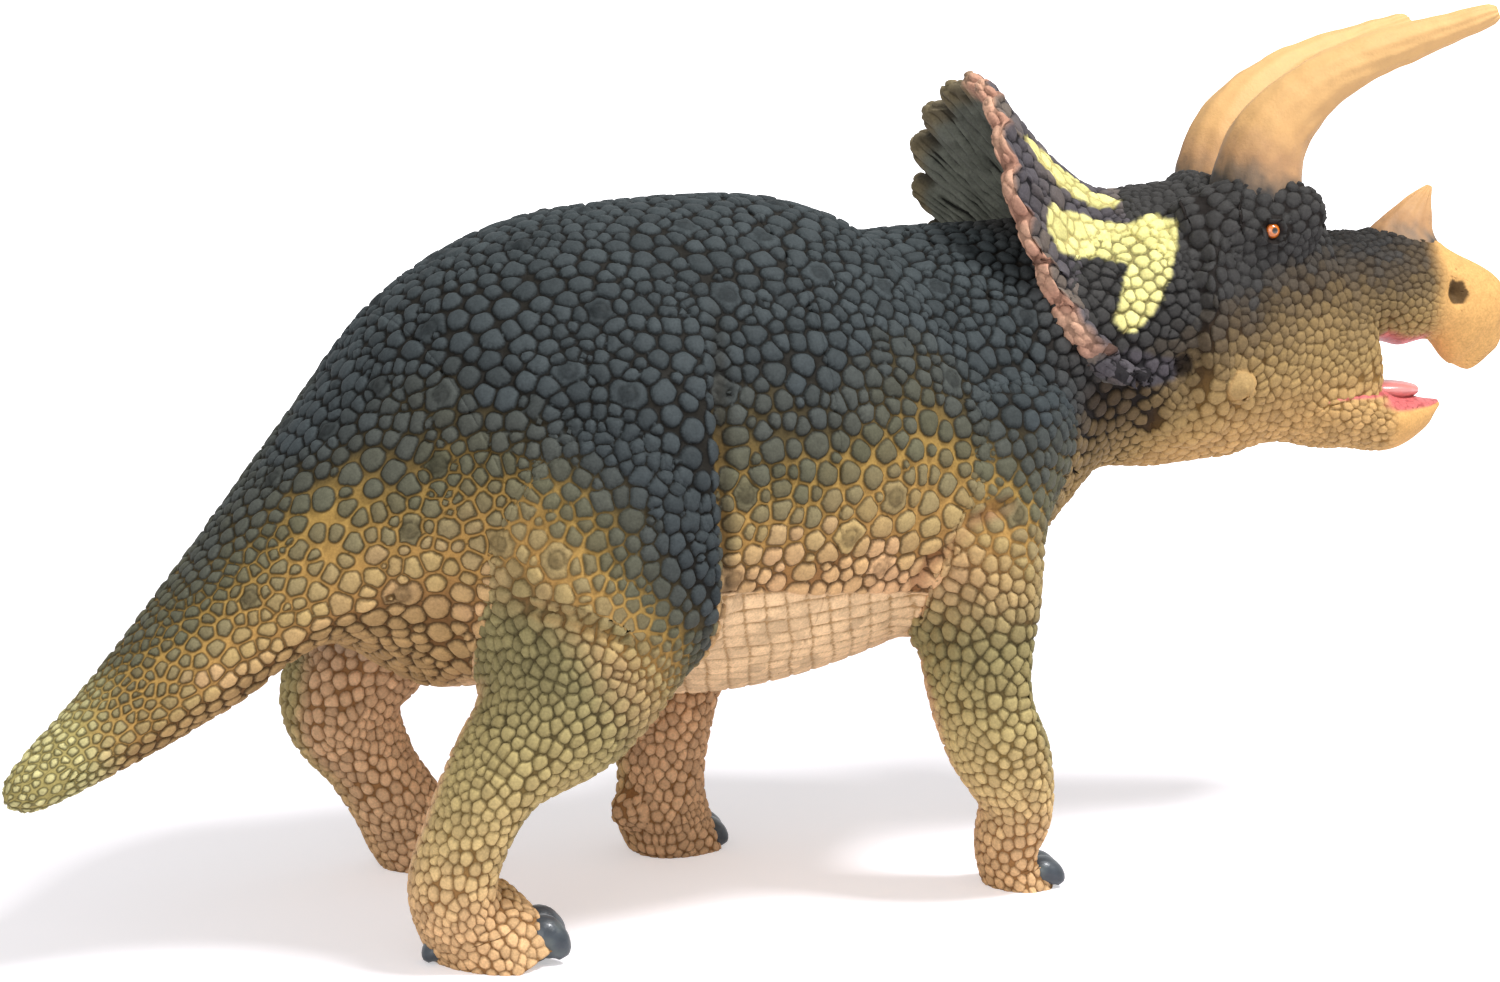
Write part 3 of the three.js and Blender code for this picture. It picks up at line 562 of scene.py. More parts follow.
class Skin:
    """A form's grid made finer, with its normals and its depth under the skins it runs into."""

    def __init__(self, name):
        form, depth, step = forms[name], depths[name], STEPS[name] * COARSER
        rows, cols = form.shape[:2]
        length = np.linalg.norm(np.diff(form, axis=0), axis=2).sum(0).max()
        girth = np.linalg.norm(form - np.roll(form, 1, axis=1), axis=2).sum(1).max()
        down = spread(rows, int(length / step) + 2, False)
        round_ = spread(cols, int(girth / step / 4) * 4 + 4, True)
        self.name = name
        self.p = np.einsum("ri,ijk,cj->rck", down, form, round_, optimize=True)
        self.n = normals(self.p)
        self.depth = down @ depth @ round_.T
        self.shape = self.p.shape[:2]
        self.turn = np.broadcast_to(np.arange(self.shape[1]) / self.shape[1], self.shape)
        self.along = np.broadcast_to(np.linspace(0, 1, self.shape[0])[:, None], self.shape)
        for centre, radii, soft in SWELLINGS.get(name, []):
            p, n = (in_head(self.p), self.n @ HEAD_TURN) if name == "skull" else (self.p, self.n)
            self.move(swelling(p, n, centre, radii, soft))
        self.move(folds(self) + SEAM_SINK * np.clip(self.depth, -SEAM_DEPTH, 0))

    def move(self, out):
        """Move the points along their normals, and turn the normals with them."""
        self.p = self.p + self.n * out[..., None]
        self.n = normals(self.p)

    def six(self, every=1):
        """Points and weighted normals side by side, so that near but opposite faces differ."""
        both = np.concatenate([self.p, NORMAL_WEIGHT * self.n], axis=2)
        return both[::every, ::every].reshape(-1, 6)


skins = {name: Skin(name) for name in STEPS}


# Scales: one pattern over every scaly skin

SCALY = ["trunk", *LEG_SHARES, "skull", "frill", "lower_jaw"]
RELAX_TURNS, ROSETTE_TURN, ROSETTE_REACH = 6, 3, 1.6
SITE_AREA = 0.866  # of a scale, over the square of its width
SHOWN_DEPTH, SITE_MARGIN = -0.8, 5.5
SPARSE = 2  # sites are laid from every second row and column
LEAST_WIDTH, FURTHEST_EDGE = 0.8, 3
REACHES, SMALL_SHARE, SMALL_REACH = (0.74, 1.16), 0.14, 0.62  # how much scales differ in size
EVEN_WIDTH, EVENNESS = 2.15, 0.55  # narrow scales differ less


def scale_width(skin):
    """How wide the scales are, in millimetres, at each point of a skin."""
    x, z = skin.p[..., 0], skin.p[..., 2]
    if skin.name == "trunk":
        return np.interp(x, [-101, -85, -60, -35, 12, 26, 36, 50],
                         [1.4, 2.0, 2.4, 2.6, 2.55, 1.95, 1.75, 1.7])
    if skin.name.startswith("leg"):
        return np.interp(z, [0, 10, 25, 36, 46], [1.4, 1.6, 1.65, 1.8, 2.45])
    if skin.name == "frill":
        return np.full(skin.shape, 2.5)
    return np.interp(in_head(skin.p)[..., 0], [0, 18, 30, 45, 56], [2.0, 1.8, 1.5, 1.15, 0.95])


def tiles(shape, offset=0, span=24):
    """The indices of a grid in compact square patches."""
    row, col = np.divmod(np.arange(shape[0] * shape[1]), shape[1])
    tile = (row // span) * (shape[1] // span + 1) + col // span
    order = np.argsort(tile, kind="stable")
    cuts = np.flatnonzero(np.diff(tile[order])) + 1
    return [part + offset for part in np.split(order, cuts)]


def two_nearest(points, parts, sites, reach):
    """For each point the two sites whose distance over their own reach is least."""
    first, second = np.zeros((2, len(points)), int)
    for part in parts:
        here = points[part]
        low, high = here[:, :3].min(0) - SITE_MARGIN, here[:, :3].max(0) + SITE_MARGIN
        near = np.flatnonzero(((sites[:, :3] > low) & (sites[:, :3] < high)).all(1))
        if len(near) < 2:
            near = np.arange(len(sites))
        far = (here**2).sum(1)[:, None] + (sites[near]**2).sum(1) - 2 * here @ sites[near].T
        far = np.maximum(far, 0) / reach[near] ** 2
        best = far.argmin(1)
        first[part] = near[best]
        far[np.arange(len(part)), best] = np.inf
        second[part] = near[far.argmin(1)]
    return first, second


def lay_sites():
    """Sites of scales: drawn at random, as dense as their width asks, then evened out by moving
    each to the middle of the points that lie nearest to it."""
    points, weight, parts, width, start = [], [], [], [], 0
    for name in SCALY:
        skin = skins[name]
        wide = scale_width(skin)
        area = np.linalg.norm(np.cross(*slopes(skin.p)), axis=2)
        scales = (area * (skin.depth > SHOWN_DEPTH) / wide**2)[::SPARSE, ::SPARSE]
        points.append(skin.six(SPARSE))
        weight.append(scales.ravel() * SPARSE**2)
        width.append(wide[::SPARSE, ::SPARSE].ravel())
        parts += tiles(scales.shape, start)
        start += scales.size
    points, weight, width = np.vstack(points), np.concatenate(weight), np.concatenate(width)
    count = int(weight.sum() / SITE_AREA)
    drawn = dice.choice(len(points), count, replace=False, p=weight / weight.sum())
    sites = points[drawn].copy()
    reach = dice.uniform(*REACHES, count)
    reach[dice.random(count) < SMALL_SHARE] *= SMALL_REACH
    reach = 1 + (reach - 1) * (1 - EVENNESS * (width[drawn] < EVEN_WIDTH))
    for turn in range(RELAX_TURNS):
        if turn == ROSETTE_TURN:
            reach[rosettes(sites)] = ROSETTE_REACH
        owner, _ = two_nearest(points, parts, sites, reach)
        total = np.bincount(owner, weight, count)
        held = total > 0
        for axis in range(6):
            middle = np.bincount(owner, weight * points[:, axis], count)
            sites[held, axis] = middle[held] / total[held]
    owner, _ = two_nearest(points, parts, sites, reach)
    total = np.maximum(np.bincount(owner, weight, count), 1e-9)
    wide = np.maximum(np.bincount(owner, weight * width, count) / total, LEAST_WIDTH)
    return sites, reach, wide, reach == ROSETTE_REACH


# Where rosettes lie: before and behind these lengths, above this height, and how far apart
ROSETTES_AHEAD, ROSETTES_BEHIND, ROSETTES_ABOVE = 24, -88, 42
ROSETTE_PLACES, ROSETTE_GAPS = [-88, -55, -20], [7.5, 7.0, 8.0]


def rosettes(sites):
    """Which sites carry a rosette: on the body, those whose drawn number is the least within a
    given distance, so that they keep apart."""
    drawn = dice.random(len(sites))
    x, z = sites[:, 0], sites[:, 2]
    body = (x < ROSETTES_AHEAD) & (x > ROSETTES_BEHIND) & (z > ROSETTES_ABOVE)
    far = np.interp(x, ROSETTE_PLACES, ROSETTE_GAPS)
    chosen = np.zeros(len(sites), bool)
    for part in np.array_split(np.flatnonzero(body), 20):
        gap = np.linalg.norm(sites[part][:, None, :3] - sites[None, :, :3], axis=2)
        rival = (gap < far[part][:, None]) & (drawn[None] < drawn[part][:, None]) & body
        chosen[part] = ~rival.any(1)
    return chosen


sites, reach, width, is_rosette = lay_sites()
tint, lift = (dice.uniform(-1, 1, len(sites)) for _ in range(2))


SNAP_SHARE = 0.48  # of the vertices' spacing, within which they move onto an edge


def lay_scales(skin):
    """Distance to the nearest edge between two scales and to the middle of its own. With d1/r1 and
    d2/r2 the two least distances over reaches, the edge lies (d2/r2 - d1/r1) away over the length
    of that difference's slope. Vertices close to an edge are moved onto it."""
    points = skin.six()
    first, second = two_nearest(points, tiles(skin.shape), sites, reach)
    mine, other = points - sites[first], points - sites[second]
    d1 = np.linalg.norm(mine, axis=1, keepdims=True) + 1e-6
    d2 = np.linalg.norm(other, axis=1, keepdims=True) + 1e-6
    r1, r2 = reach[first][:, None], reach[second][:, None]
    slope = (other / d2 / r2 - mine / d1 / r1)[:, :3]
    normal = skin.n.reshape(-1, 3)
    slope -= normal * (slope * normal).sum(1, keepdims=True)
    steep = np.linalg.norm(slope, axis=1, keepdims=True) + 1e-6
    edge = (d2 / r2 - d1 / r1) / steep
    across = slope / steep
    spacing = np.max([abs((way.reshape(-1, 3) * across).sum(1)) for way in slopes(skin.p)], axis=0)
    spacing = spacing[:, None]
    near = edge < SNAP_SHARE * spacing
    moved = points[:, :3] - np.where(near, across * edge, 0)
    skin.p = moved.reshape(*skin.shape, 3)
    skin.edge = np.where(near, 0, np.minimum(edge, FURTHEST_EDGE)).reshape(skin.shape)
    skin.owner = first.reshape(skin.shape)
    skin.wide = (width[first] * r1[:, 0]).reshape(skin.shape)
    skin.core = d1[:, 0].reshape(skin.shape) / (skin.wide / 2)
    skin.middle = sites[first, :3].reshape(*skin.shape, 3)


for name in SCALY:
    lay_scales(skins[name])


# Zones of the skin, from 0 to 1

FRILL_PATCHES = [np.array(rows) for rows in (
    [[-6.5, 11.2, 27.3, 1.9], [-2.7, 9.1, 24.6, 2.6], [1.1, 7, 22.3, 2.6], [4.2, 6.2, 21.2, 1.4]],
    [[-4.7, 15.2, 17.8, 3], [0.1, 11.8, 16.4, 3], [4.6, 11.8, 15.4, 3.2], [8.8, 10.6, 15.9, 3.2],
     [6.9, 14.2, 12.3, 2.6], [4.7, 16.3, 8.8, 2.4], [3.1, 17, 6.4, 1.6]])]
# Dark end of the frill beside the ear hole, in the head's frame, as are the patches
FRILL_FLAP = np.array([[3.5, 17.4, 1.2, 1.6], [6.5, 15.8, -0.2, 1.9], [8.9, 14.7, 0.2, 1.5]])


def belly_line(x):
    """Height of the edge of the flank's scales over the smooth belly."""
    return np.interp(x, [-50, -28, -14, -4, 4, 12], [38, 42.3, 40.6, 39.4, 38.2, 36])


def zones(skin):
    """Masks over a skin, from its points and normals: the belly's plates, the smooth beak, the
    block on the cheek, the wet mouth, and the frill's back, rim and pale patches."""
    p, head, facing = skin.p, left_side(in_head(skin.p)), skin.n @ HEAD_TURN
    none = np.zeros(skin.shape)
    zone = dict.fromkeys(("belly", "beak", "mouth", "back", "rim", "patch"), none)
    if skin.name == "trunk":
        under = belly_line(p[..., 0]) + 0.25 * noise(p, 3, 5) - p[..., 2]
        zone["belly"] = rise(under, -0.2, 0.5) * rise(p[..., 0], -54, -50) * rise(14 - p[..., 0], 0, 3)
    if skin.name == "skull":
        block = np.linalg.norm((head - CHEEK_BLOCK) / [2.5, 3.6, 2.3], axis=-1)
        front = rise(head[..., 0] + 0.5 * noise(p, 2.2, 9), 46, 50)
        zone["beak"] = np.maximum(front, 1 - rise(block, 0.9, 1.1))
        zone["mouth"] = rise(-facing[..., 2], 0.8, 0.95) * rise(head[..., 0], 38, 40)
        zone["mouth"] = zone["mouth"] * (1 - rise(head[..., 0], 46, 48))
    if skin.name == "lower_jaw":
        zone["beak"] = rise(head[..., 0] + 0.5 * noise(p, 2.2, 9), 40, 43)
        zone["mouth"] = rise(facing[..., 2], 0.4, 0.65)
    if skin.name in ("frill", "skull", "trunk"):
        inside = np.max([-off_chain(head, patch) for patch in FRILL_PATCHES], axis=0)
        zone["patch"] = rise(inside + 0.5 * noise(p, 1.2, 41), -0.25, 0.25)
    if skin.name == "frill":
        zone["patch"] = zone["patch"] * (skin.turn < 0.48)
        zone["back"] = rise(skin.turn, 0.48, 0.54)
        zone["rim"] = bell(skin.turn - 0.5, 0.045)
    return zone


for name in SCALY:
    skins[name].zone = zones(skins[name])


# Colours, each written as it looks

def colour(code):
    """A colour's linear values from its six hexadecimal digits."""
    share = np.array([int(code[i:i + 2], 16) for i in (0, 2, 4)]) / 255
    return np.where(share <= 0.04045, share / 12.92, ((share + 0.055) / 1.055) ** 2.4)


def ramp(value, stops, codes):
    """Colours along a value: one at each stop and an even mix between stops."""
    table = np.stack([colour(code) for code in codes])
    return np.stack([np.interp(value, stops, table[:, k]) for k in range(3)], axis=-1)


def over(paint, mask, code):
    """Paint covered by a colour, or by other paint, where a mask is 1."""
    top = colour(code) if isinstance(code, str) else code
    return paint + (top - paint) * mask[..., None]


def cover(coats, mask, *codes):
    """The paint of the tops and of the creases, each covered by its colour where a mask is 1."""
    return tuple(over(paint, mask, code) for paint, code in zip(coats, codes))


def above_dark(q):
    """How far points of the flank lie above the line where its slate begins."""
    x = q[..., 0]
    ahead = np.interp(x, [-27, -22, -15, -7, 0, 6, 10, 14, 20, 26],
                      [57, 56, 56, 58, 58, 57, 54, 50, 47, 47])
    behind = np.interp(x, [-101, -94, -85, -78, -72, -65, -57, -51, -46, -42, -38, -34, -31, -28],
                       [26, 34, 40, 45, 49, 52, 57, 57, 53, 48, 43, 38, 34, 31])
    line = ahead + (behind - ahead) * rise(behind_haunch(q), -0.5, 0.5)
    return q[..., 2] - line + 3 * noise(q, 11, 3) + 1.5 * noise(q, 4, 4)


def paint_flank(skin):
    """Tops, creases and gaps of the scales of body and haunches, from slate down to cream, with painted
    shade on the hind body's underside and along the armpit and haunch folds.
    """
    p, m = skin.p, skin.middle
    top = above_dark(m) + 1.3 * tint[skin.owner]
    under = above_dark(p)
    paint = ramp(top, [-15, -9, -4, 0, 5, 11],
                 ["cea676", "b09664", "807454", "5e5c48", "484a44", "3a4042"])
    paint = over(paint, rise(-noise(m, 5, 6), 0.1, 0.7) * (1 - rise(top, -9, -4)) * 0.5, "dcae84")
    line = ramp(under, [-14, -8, -1, 5, 11], ["9c7246", "b48c50", "9c7e44", "4a4029", "1e1c18"])
    gap = 0.05 + 0.16 * bell(top + 4, 5)
    # Darker tan where the hind body faces downwards: painted shade on its underside.
    low = rise(-skin.n[..., 2], 0.1, 0.5) * rise(-p[..., 0], 44, 56)
    coats = cover((paint, line), 0.85 * low, "a98a5c", "6e5030")
    # Reddish brown along the armpit's fold: painted shade in its crease.
    fold_shade = 0.6 * bell(off_chain(right_side(p), ARMPIT), 0.8)
    coats = cover(coats, fold_shade, "9a6a4a", "7c5238")
    # Near black along the haunch's front fold: painted shadow under its overhang.
    fold_shade = 0.6 * bell(behind_haunch(p) + 1, 1) * rise(p[..., 2], 34, 42) * (1 - rise(p[..., 2], 66, 79))
    coats = cover(coats, fold_shade, "2c2820", "1c1814")
    tip = rise(-p[..., 0] + 1.5 * noise(p, 4, 8), 91, 98)
    coats = cover(coats, tip, "c9c088", "a89a60")
    belly = skin.zone["belly"]
    return *cover(coats, belly, "e6c498", "be9868"), gap * (1 - belly) + 0.1 * belly


def paint_body(skin):
    """The flank's paint, which turns into the head's along the neck."""
    flank, head = paint_flank(skin), paint_head(skin)
    neck = rise(skin.middle[..., 0] + 3 * noise(skin.middle, 5, 12), 17, 29)
    return tuple(a + (b - a) * (neck[..., None] if a.ndim == 3 else neck) for a, b in zip(flank, head))


def paint_leg(skin):
    """Legs: olive at the top, yellow to cream below, and tan where they face inwards."""
    p, m = skin.p, skin.middle
    z = m[..., 2] + 1.5 * noise(m, 6, 11) + 1.2 * tint[skin.owner]
    front = skin.n[..., 0]
    paint = ramp(z, [6, 14, 24, 34], ["dcb484", "d0b47e", "b4a26e", "8a8058"])
    paint = over(paint, rise(front, 0.2, 0.8) * rise(z, 10, 20) * 0.6, "6a684a")
    line = ramp(p[..., 2], [8, 18, 30], ["9c7246", "8c7444", "5a5034"])
    inner = rise(-np.sign(p[..., 1]) * skin.n[..., 1] + 0.2 * noise(p, 6, 15), 0.0, 0.5)
    paint, line = cover((paint, line), inner, "dcb48a", "9c7248")
    body, crease, gap = paint_flank(skin)
    if "hind" in skin.name:
        high = rise(m[..., 2] - 35 + 12 * front, -6, 6)
    else:
        high = rise(m[..., 2], 31, 47)
    high = high * (1 - 0.7 * inner)
    if skin.name == "leg_hind_left":
        paint = over(paint, 0.5 * rise(z, 28, 33) * rise(-front, 0.1, 0.6), "4e585a")
    return *cover((paint, line), high, body, crease), high * gap


PATCH_COLOURS = ("e2da90", "c0b272")


def paint_head(skin):
    """Head: charcoal on top, brown at the cheek, ochre and tan below, apricot at the beak, and painted
    shade on the neck under the frill's lower end.
    """
    m, q = in_head(skin.middle), in_head(skin.p)
    turn = np.interp(m[..., 0], [-12, -2, 8, 18, 28, 35, 43, 48], [-14, -10, -4, 2, 5, 6, 7, 9])
    high = m[..., 2] - turn + 1.6 * noise(m, 5, 13) + 1.4 * tint[skin.owner]
    paint = ramp(high, [-11, -5, 0, 4, 8], ["c49e68", "a88c5c", "7c6848", "544838", "3a3938"])
    dark = q[..., 2] - turn + 10 * (1 - rise(q[..., 0], 2, 12))
    line = ramp(dark, [-11, -5, 2, 8], ["94703f", "74582f", "40301e", "201c1a"])
    flap = 1 - rise(off_chain(left_side(q), FRILL_FLAP) + 0.3 * noise(q, 1.2, 14), -0.4, 0.5)
    # Dark brown in patches on the neck under the frill's lower end: painted shade.
    neck_shade = bell(distance(left_side(q), [1, 15, -4], [0.6, 0.5, 0.8]), 3.5)
    neck_shade = 0.6 * neck_shade * rise(noise(q, 3, 16), -0.5, 0.3)
    coats = cover((paint, line), neck_shade, "3c2e20", "1c140e")
    coats = cover(coats, flap, "4c484c", "262426")
    beak = skin.zone["beak"]
    block = beak * (1 - rise(q[..., 0], 24, 30))
    coats = cover(coats, beak, "d8a868", "d8a868")
    coats = cover(coats, block, "ae9060", "ae9060")
    coats = cover(coats, skin.zone["patch"], *PATCH_COLOURS)
    return *cover(coats, skin.zone["mouth"], "cd6e6e", "b45a5a"), np.full(skin.shape, -0.03)


def paint_frill(skin):
    """Frill: charcoal in front with pale patches, grey-green streaks behind, and a rim that is pink
    in front and on the right, and olive brown behind the left."""
    p, zone = skin.p, skin.zone
    paint = np.broadcast_to(colour("524e52"), p.shape)
    paint = over(paint, rise(noise(skin.middle, 4, 42), 0, 0.8), "6c625a")
    line = np.broadcast_to(colour("262426"), p.shape)
    coats = cover((paint, line), zone["patch"], *PATCH_COLOURS)
    coats = cover(coats, zone["back"], "6c6e64", "2a2a26")
    lumps = abs(np.sin(math.pi * FRILL_LUMPS * skin.along))
    left = rise(in_head(p)[..., 1], -2, 2) * rise(skin.turn, 0.42, 0.48)
    edge = over(ramp(lumps, [0.1, 0.6, 0.95], ["b08470", "c0937c", "caa086"]), left,
                ramp(lumps, [0.1, 0.6, 0.95], ["3e3a30", "6e6450", "80745a"]))
    rim = rise(zone["rim"], 0.25, 0.6) * (1 - rise(abs(2 * skin.along - 1), 0.84, 0.92))
    return *cover(coats, rim, edge, edge * 0.6), np.full(skin.shape, 0.05)


PAINTERS = {"trunk": paint_body, "skull": paint_head, "lower_jaw": paint_head, "frill": paint_frill}


# Relief

def soft_least(a, b, k):
    """The smooth minimum of two values: the least of them, less (k - |a - b|)^2 / 4k."""
    return np.minimum(a, b) - np.maximum(k - abs(a - b), 0) ** 2 / (4 * k)


def scale_depth(skin):
    """How deep the creases between scales are, in millimetres."""
    if skin.name == "trunk":
        deep = np.interp(skin.p[..., 0], [-101, -80, -50, 25, 40], [0.22, 0.4, 0.58, 0.54, 0.4])
        return deep * (1 - skin.zone["belly"])
    if skin.name.startswith("leg"):
        return np.interp(skin.p[..., 2], [0, 4, 15, 45], [0.18, 0.28, 0.36, 0.52])
    if skin.name == "frill":
        return 0.4 * (1 - skin.zone["back"]) * (1 - 0.5 * skin.zone["patch"])
    head = in_head(skin.p)[..., 0]
    smooth = np.maximum(skin.zone["beak"], skin.zone["mouth"])
    return np.interp(head, [0, 20, 35, 50], [0.4, 0.36, 0.27, 0.16]) * (1 - smooth)


# The belly's plates: its round, the height of its middle, how its columns slant, and their sizes
BELLY_ROUND, BELLY_MIDDLE, BELLY_SLANT, COLUMN, ROW, STREAK = 24.0, 46, 0.45, 2.9, 2.1, 1.5


def line_gap(across, width):
    """Distance to the nearest of many lines that lie a width apart."""
    return (0.5 - abs(across / width % 1 - 0.5)) * width


def belly_edge(skin):
    """Distance to the creases of the belly's plates: slanted columns and level rows."""
    p = skin.p
    around = BELLY_ROUND * np.arctan2(abs(p[..., 1]), BELLY_MIDDLE - p[..., 2])
    across = p[..., 0] + BELLY_SLANT * around + 0.5 * noise(p, 6, 21)
    return np.minimum(line_gap(across, COLUMN), line_gap(around + 0.4 * noise(p, 5, 22), ROW))


def frill_back_edge(skin):
    """Distance to the creases of the streaks behind the frill, which run from root to rim."""
    arc = skin.along * FRILL_ARCH
    out = (1 - skin.turn) * 2 * FRILL_FACE
    place = np.stack([arc, out / 3, 0 * arc], -1)
    edge = line_gap(arc + 0.9 * noise(place, 1.6, 31), STREAK)
    return edge + 0.3 * noise(place * [1, 3, 1], 0.8, 32)


# A scale's outline and slope, as shares of its width, its dome, and how unevenly scales stand
ROUNDNESS, CORNER, SLOPE, WIDEST, DOME, UNEVEN = 0.66, 0.2, 0.24, 3.2, 0.1, 0.12
# A rosette's ring and the boss in it: where, how wide, how deep or high, and how dark
RING_PLACE, RING_WIDTH, RING_DEPTH, RING_DARK = 0.5, 0.13, 0.45, 0.45
BOSS_WIDTH, BOSS_HEIGHT, BOSS_DARK, BOSS_DARK_WIDTH = 0.3, 0.3, 0.6, 0.33
BELLY_DEPTH, PLATE_CREASE, STREAK_DEPTH = 0.9, 0.3, 0.9
TINT_SHARE, PIT_DARK, PIT_COLOUR = 0.18, 0.85, "1c1614"
# Dark pits of the head: place, stretch of each axis, inner and outer edge, and unevenness
PITS = ((NOSTRIL, [1, 0.4, 0.9], 1.35, 1.65, 0.3), (EAR, [1, 0.6, 0.85], 1.1, 1.5, 0),
        (EYE, [1, 0.7, 1], 1.0, 1.5, 0))


def carve(skin):
    """Scales stand on the skin as rounded islands: creases sink by the square of how near they are,
    tops are slightly domed, and a rosette has a boss in a ring."""
    belly, back = skin.zone["belly"], skin.zone["back"]
    wide = skin.wide
    edge = soft_least(skin.edge, ROUNDNESS * wide - skin.core * wide / 2, CORNER * wide)
    edge = np.where(skin.edge > 0, edge, np.minimum(edge, 0))
    if skin.name == "trunk":
        edge = np.where(belly > 0.5, belly_edge(skin), edge)
    if skin.name == "frill":
        edge = np.where(back > 0.5, frill_back_edge(skin), edge)
    paint, line, gap = PAINTERS.get(skin.name, paint_leg)(skin)
    deep = scale_depth(skin)
    rosette = is_rosette[skin.owner] & (belly < 0.5)
    slope = 1 - np.clip((edge - gap) / (SLOPE * np.minimum(wide, WIDEST)), 0, 1)
    dome = DOME * np.clip(skin.core, 0, 1.2) ** 2
    sink = deep * (slope**2 + dome + UNEVEN * (1 + lift[skin.owner]))
    ring = bell(skin.core - RING_PLACE, RING_WIDTH)
    boss = bell(skin.core, BOSS_WIDTH)
    sink = sink + np.where(rosette, deep * (RING_DEPTH * ring - BOSS_HEIGHT * boss), 0)
    sink = sink + belly * (BELLY_DEPTH + PLATE_CREASE * (1 - rise(edge, 0, 0.4)))
    sink = sink + STREAK_DEPTH * back * (1 - rise(edge, 0, 0.6)) * (1 - skin.zone["rim"])
    skin.p = skin.p - skin.n * sink[..., None]
    light = 1 + TINT_SHARE * tint[skin.owner] * (1 - skin.zone["beak"])
    dark = BOSS_DARK * bell(skin.core, BOSS_DARK_WIDTH) + RING_DARK * ring
    light = light * (1 - np.where(rosette, dark, 0))
    q = left_side(in_head(skin.p))
    pits = np.zeros(skin.shape)
    for place, stretch, inner, outer, uneven in PITS if skin.name in ON_HEAD else ():
        far = distance(q, place, stretch) + uneven * noise(q, 0.8, 55)
        pits = np.maximum(pits, 1 - rise(far, inner, outer))
    smooth = np.maximum.reduce([skin.zone[key] for key in ("beak", "mouth", "rim")] + [0.7 * belly])
    coats = (paint * light[..., None], line)
    paint, line = cover(coats, PIT_DARK * pits, PIT_COLOUR, PIT_COLOUR)
    skin.layers = {"paint": paint, "crease": line, "edge": edge - gap, "smooth": smooth,
                   "wet": skin.zone["mouth"]}


for name in SCALY:
    carve(skins[name])


# Materials

class Value:
    """A socket's value, on which arithmetic adds Math nodes."""

    def __init__(self, finish, socket):
        self.finish, self.socket = finish, socket

    def maths(self, operation, first, second):
        """What a Math node makes of two values."""
        return self.finish.node("Math", {"operation": operation}, {0: first, 1: second})

    def __add__(self, other):
        return self.maths("ADD", self, other)

    def __sub__(self, other):
        return self.maths("SUBTRACT", self, other)

    def __rsub__(self, other):
        return self.maths("SUBTRACT", other, self)

    def __mul__(self, other):
        return self.maths("MULTIPLY", self, other)

    __radd__ = __add__
    __rmul__ = __mul__


class Finish:
    """The nodes of a material, or of the world, which end in one shader."""

    def __init__(self, name, kept=bpy.data.materials):
        self.made = kept.new(name)
        self.made.use_nodes = True
        self.tree = self.made.node_tree
        self.tree.nodes.clear()

    def node(self, kind, settings=None, inputs=None, output=0):
        """A node of a type with its settings, then the values or links of its sockets."""
        made = self.tree.nodes.new("ShaderNode" + kind)
        for key, value in (settings or {}).items():
            setattr(made, key, value)
        for key, value in (inputs or {}).items():
            if isinstance(value, Value):
                self.tree.links.new(value.socket, made.inputs[key])
            else:
                made.inputs[key].default_value = value
        return Value(self, made.outputs[output])

    def layer(self, name, output="Fac"):
        """A value, or a colour, that the vertices carry."""
        return self.node("Attribute", {"attribute_name": name}, {}, output)

    def mix(self, factor, first, second, blend="MIX"):
        """A mix of two colours."""
        settings = {"data_type": "RGBA", "blend_type": blend}
        return self.node("Mix", settings, {0: factor, 6: first, 7: second}, 2)

    def shaded(self, base, light):
        """A colour times a value."""
        grey = self.node("CombineColor", {}, {0: light, 1: light, 2: light})
        return self.mix(1.0, base, grey, "MULTIPLY")

    def step(self, value, low, high):
        """A smooth step from 0 at low to 1 at high."""
        settings = {"interpolation_type": "SMOOTHSTEP"}
        return self.node("MapRange", settings, {0: value, 1: low, 2: high, 3: 0.0, 4: 1.0})

    def grain(self, size, detail):
        """Noise from 0 to 1 in Object coordinates, its features that many metres wide."""
        place = self.node("TexCoord", {}, {}, "Object")
        inputs = {"Vector": place, "Scale": 1 / size, "Detail": detail, "Roughness": 0.55}
        return self.node("TexNoise", {}, inputs)

    def seen(self):
        """1 where the camera, a reflection or glass looks, and 0 for light on the figure."""
        camera, glossy, through = (self.node("LightPath", {}, {}, "Is %s Ray" % kind)
                                   for kind in ("Camera", "Glossy", "Transmission"))
        return camera.maths("MAXIMUM", camera.maths("MAXIMUM", camera, glossy), through)

    def bump(self, height, distance):
        """Normals tilted by a height, which is a share of a distance in metres."""
        return self.node("Bump", {}, {"Strength": 0.9, "Distance": distance, "Height": height})

    def end(self, inputs):
        """The material with a Principled shader of these inputs."""
        return self.surface(self.node("BsdfPrincipled", {}, inputs))

    def surface(self, shader, kind="Material"):
        """The material, or the world, with its shader joined to its output."""
        output = self.tree.nodes.new("ShaderNodeOutput" + kind)
        self.tree.links.new(shader.socket, output.inputs["Surface"])
        return self.made


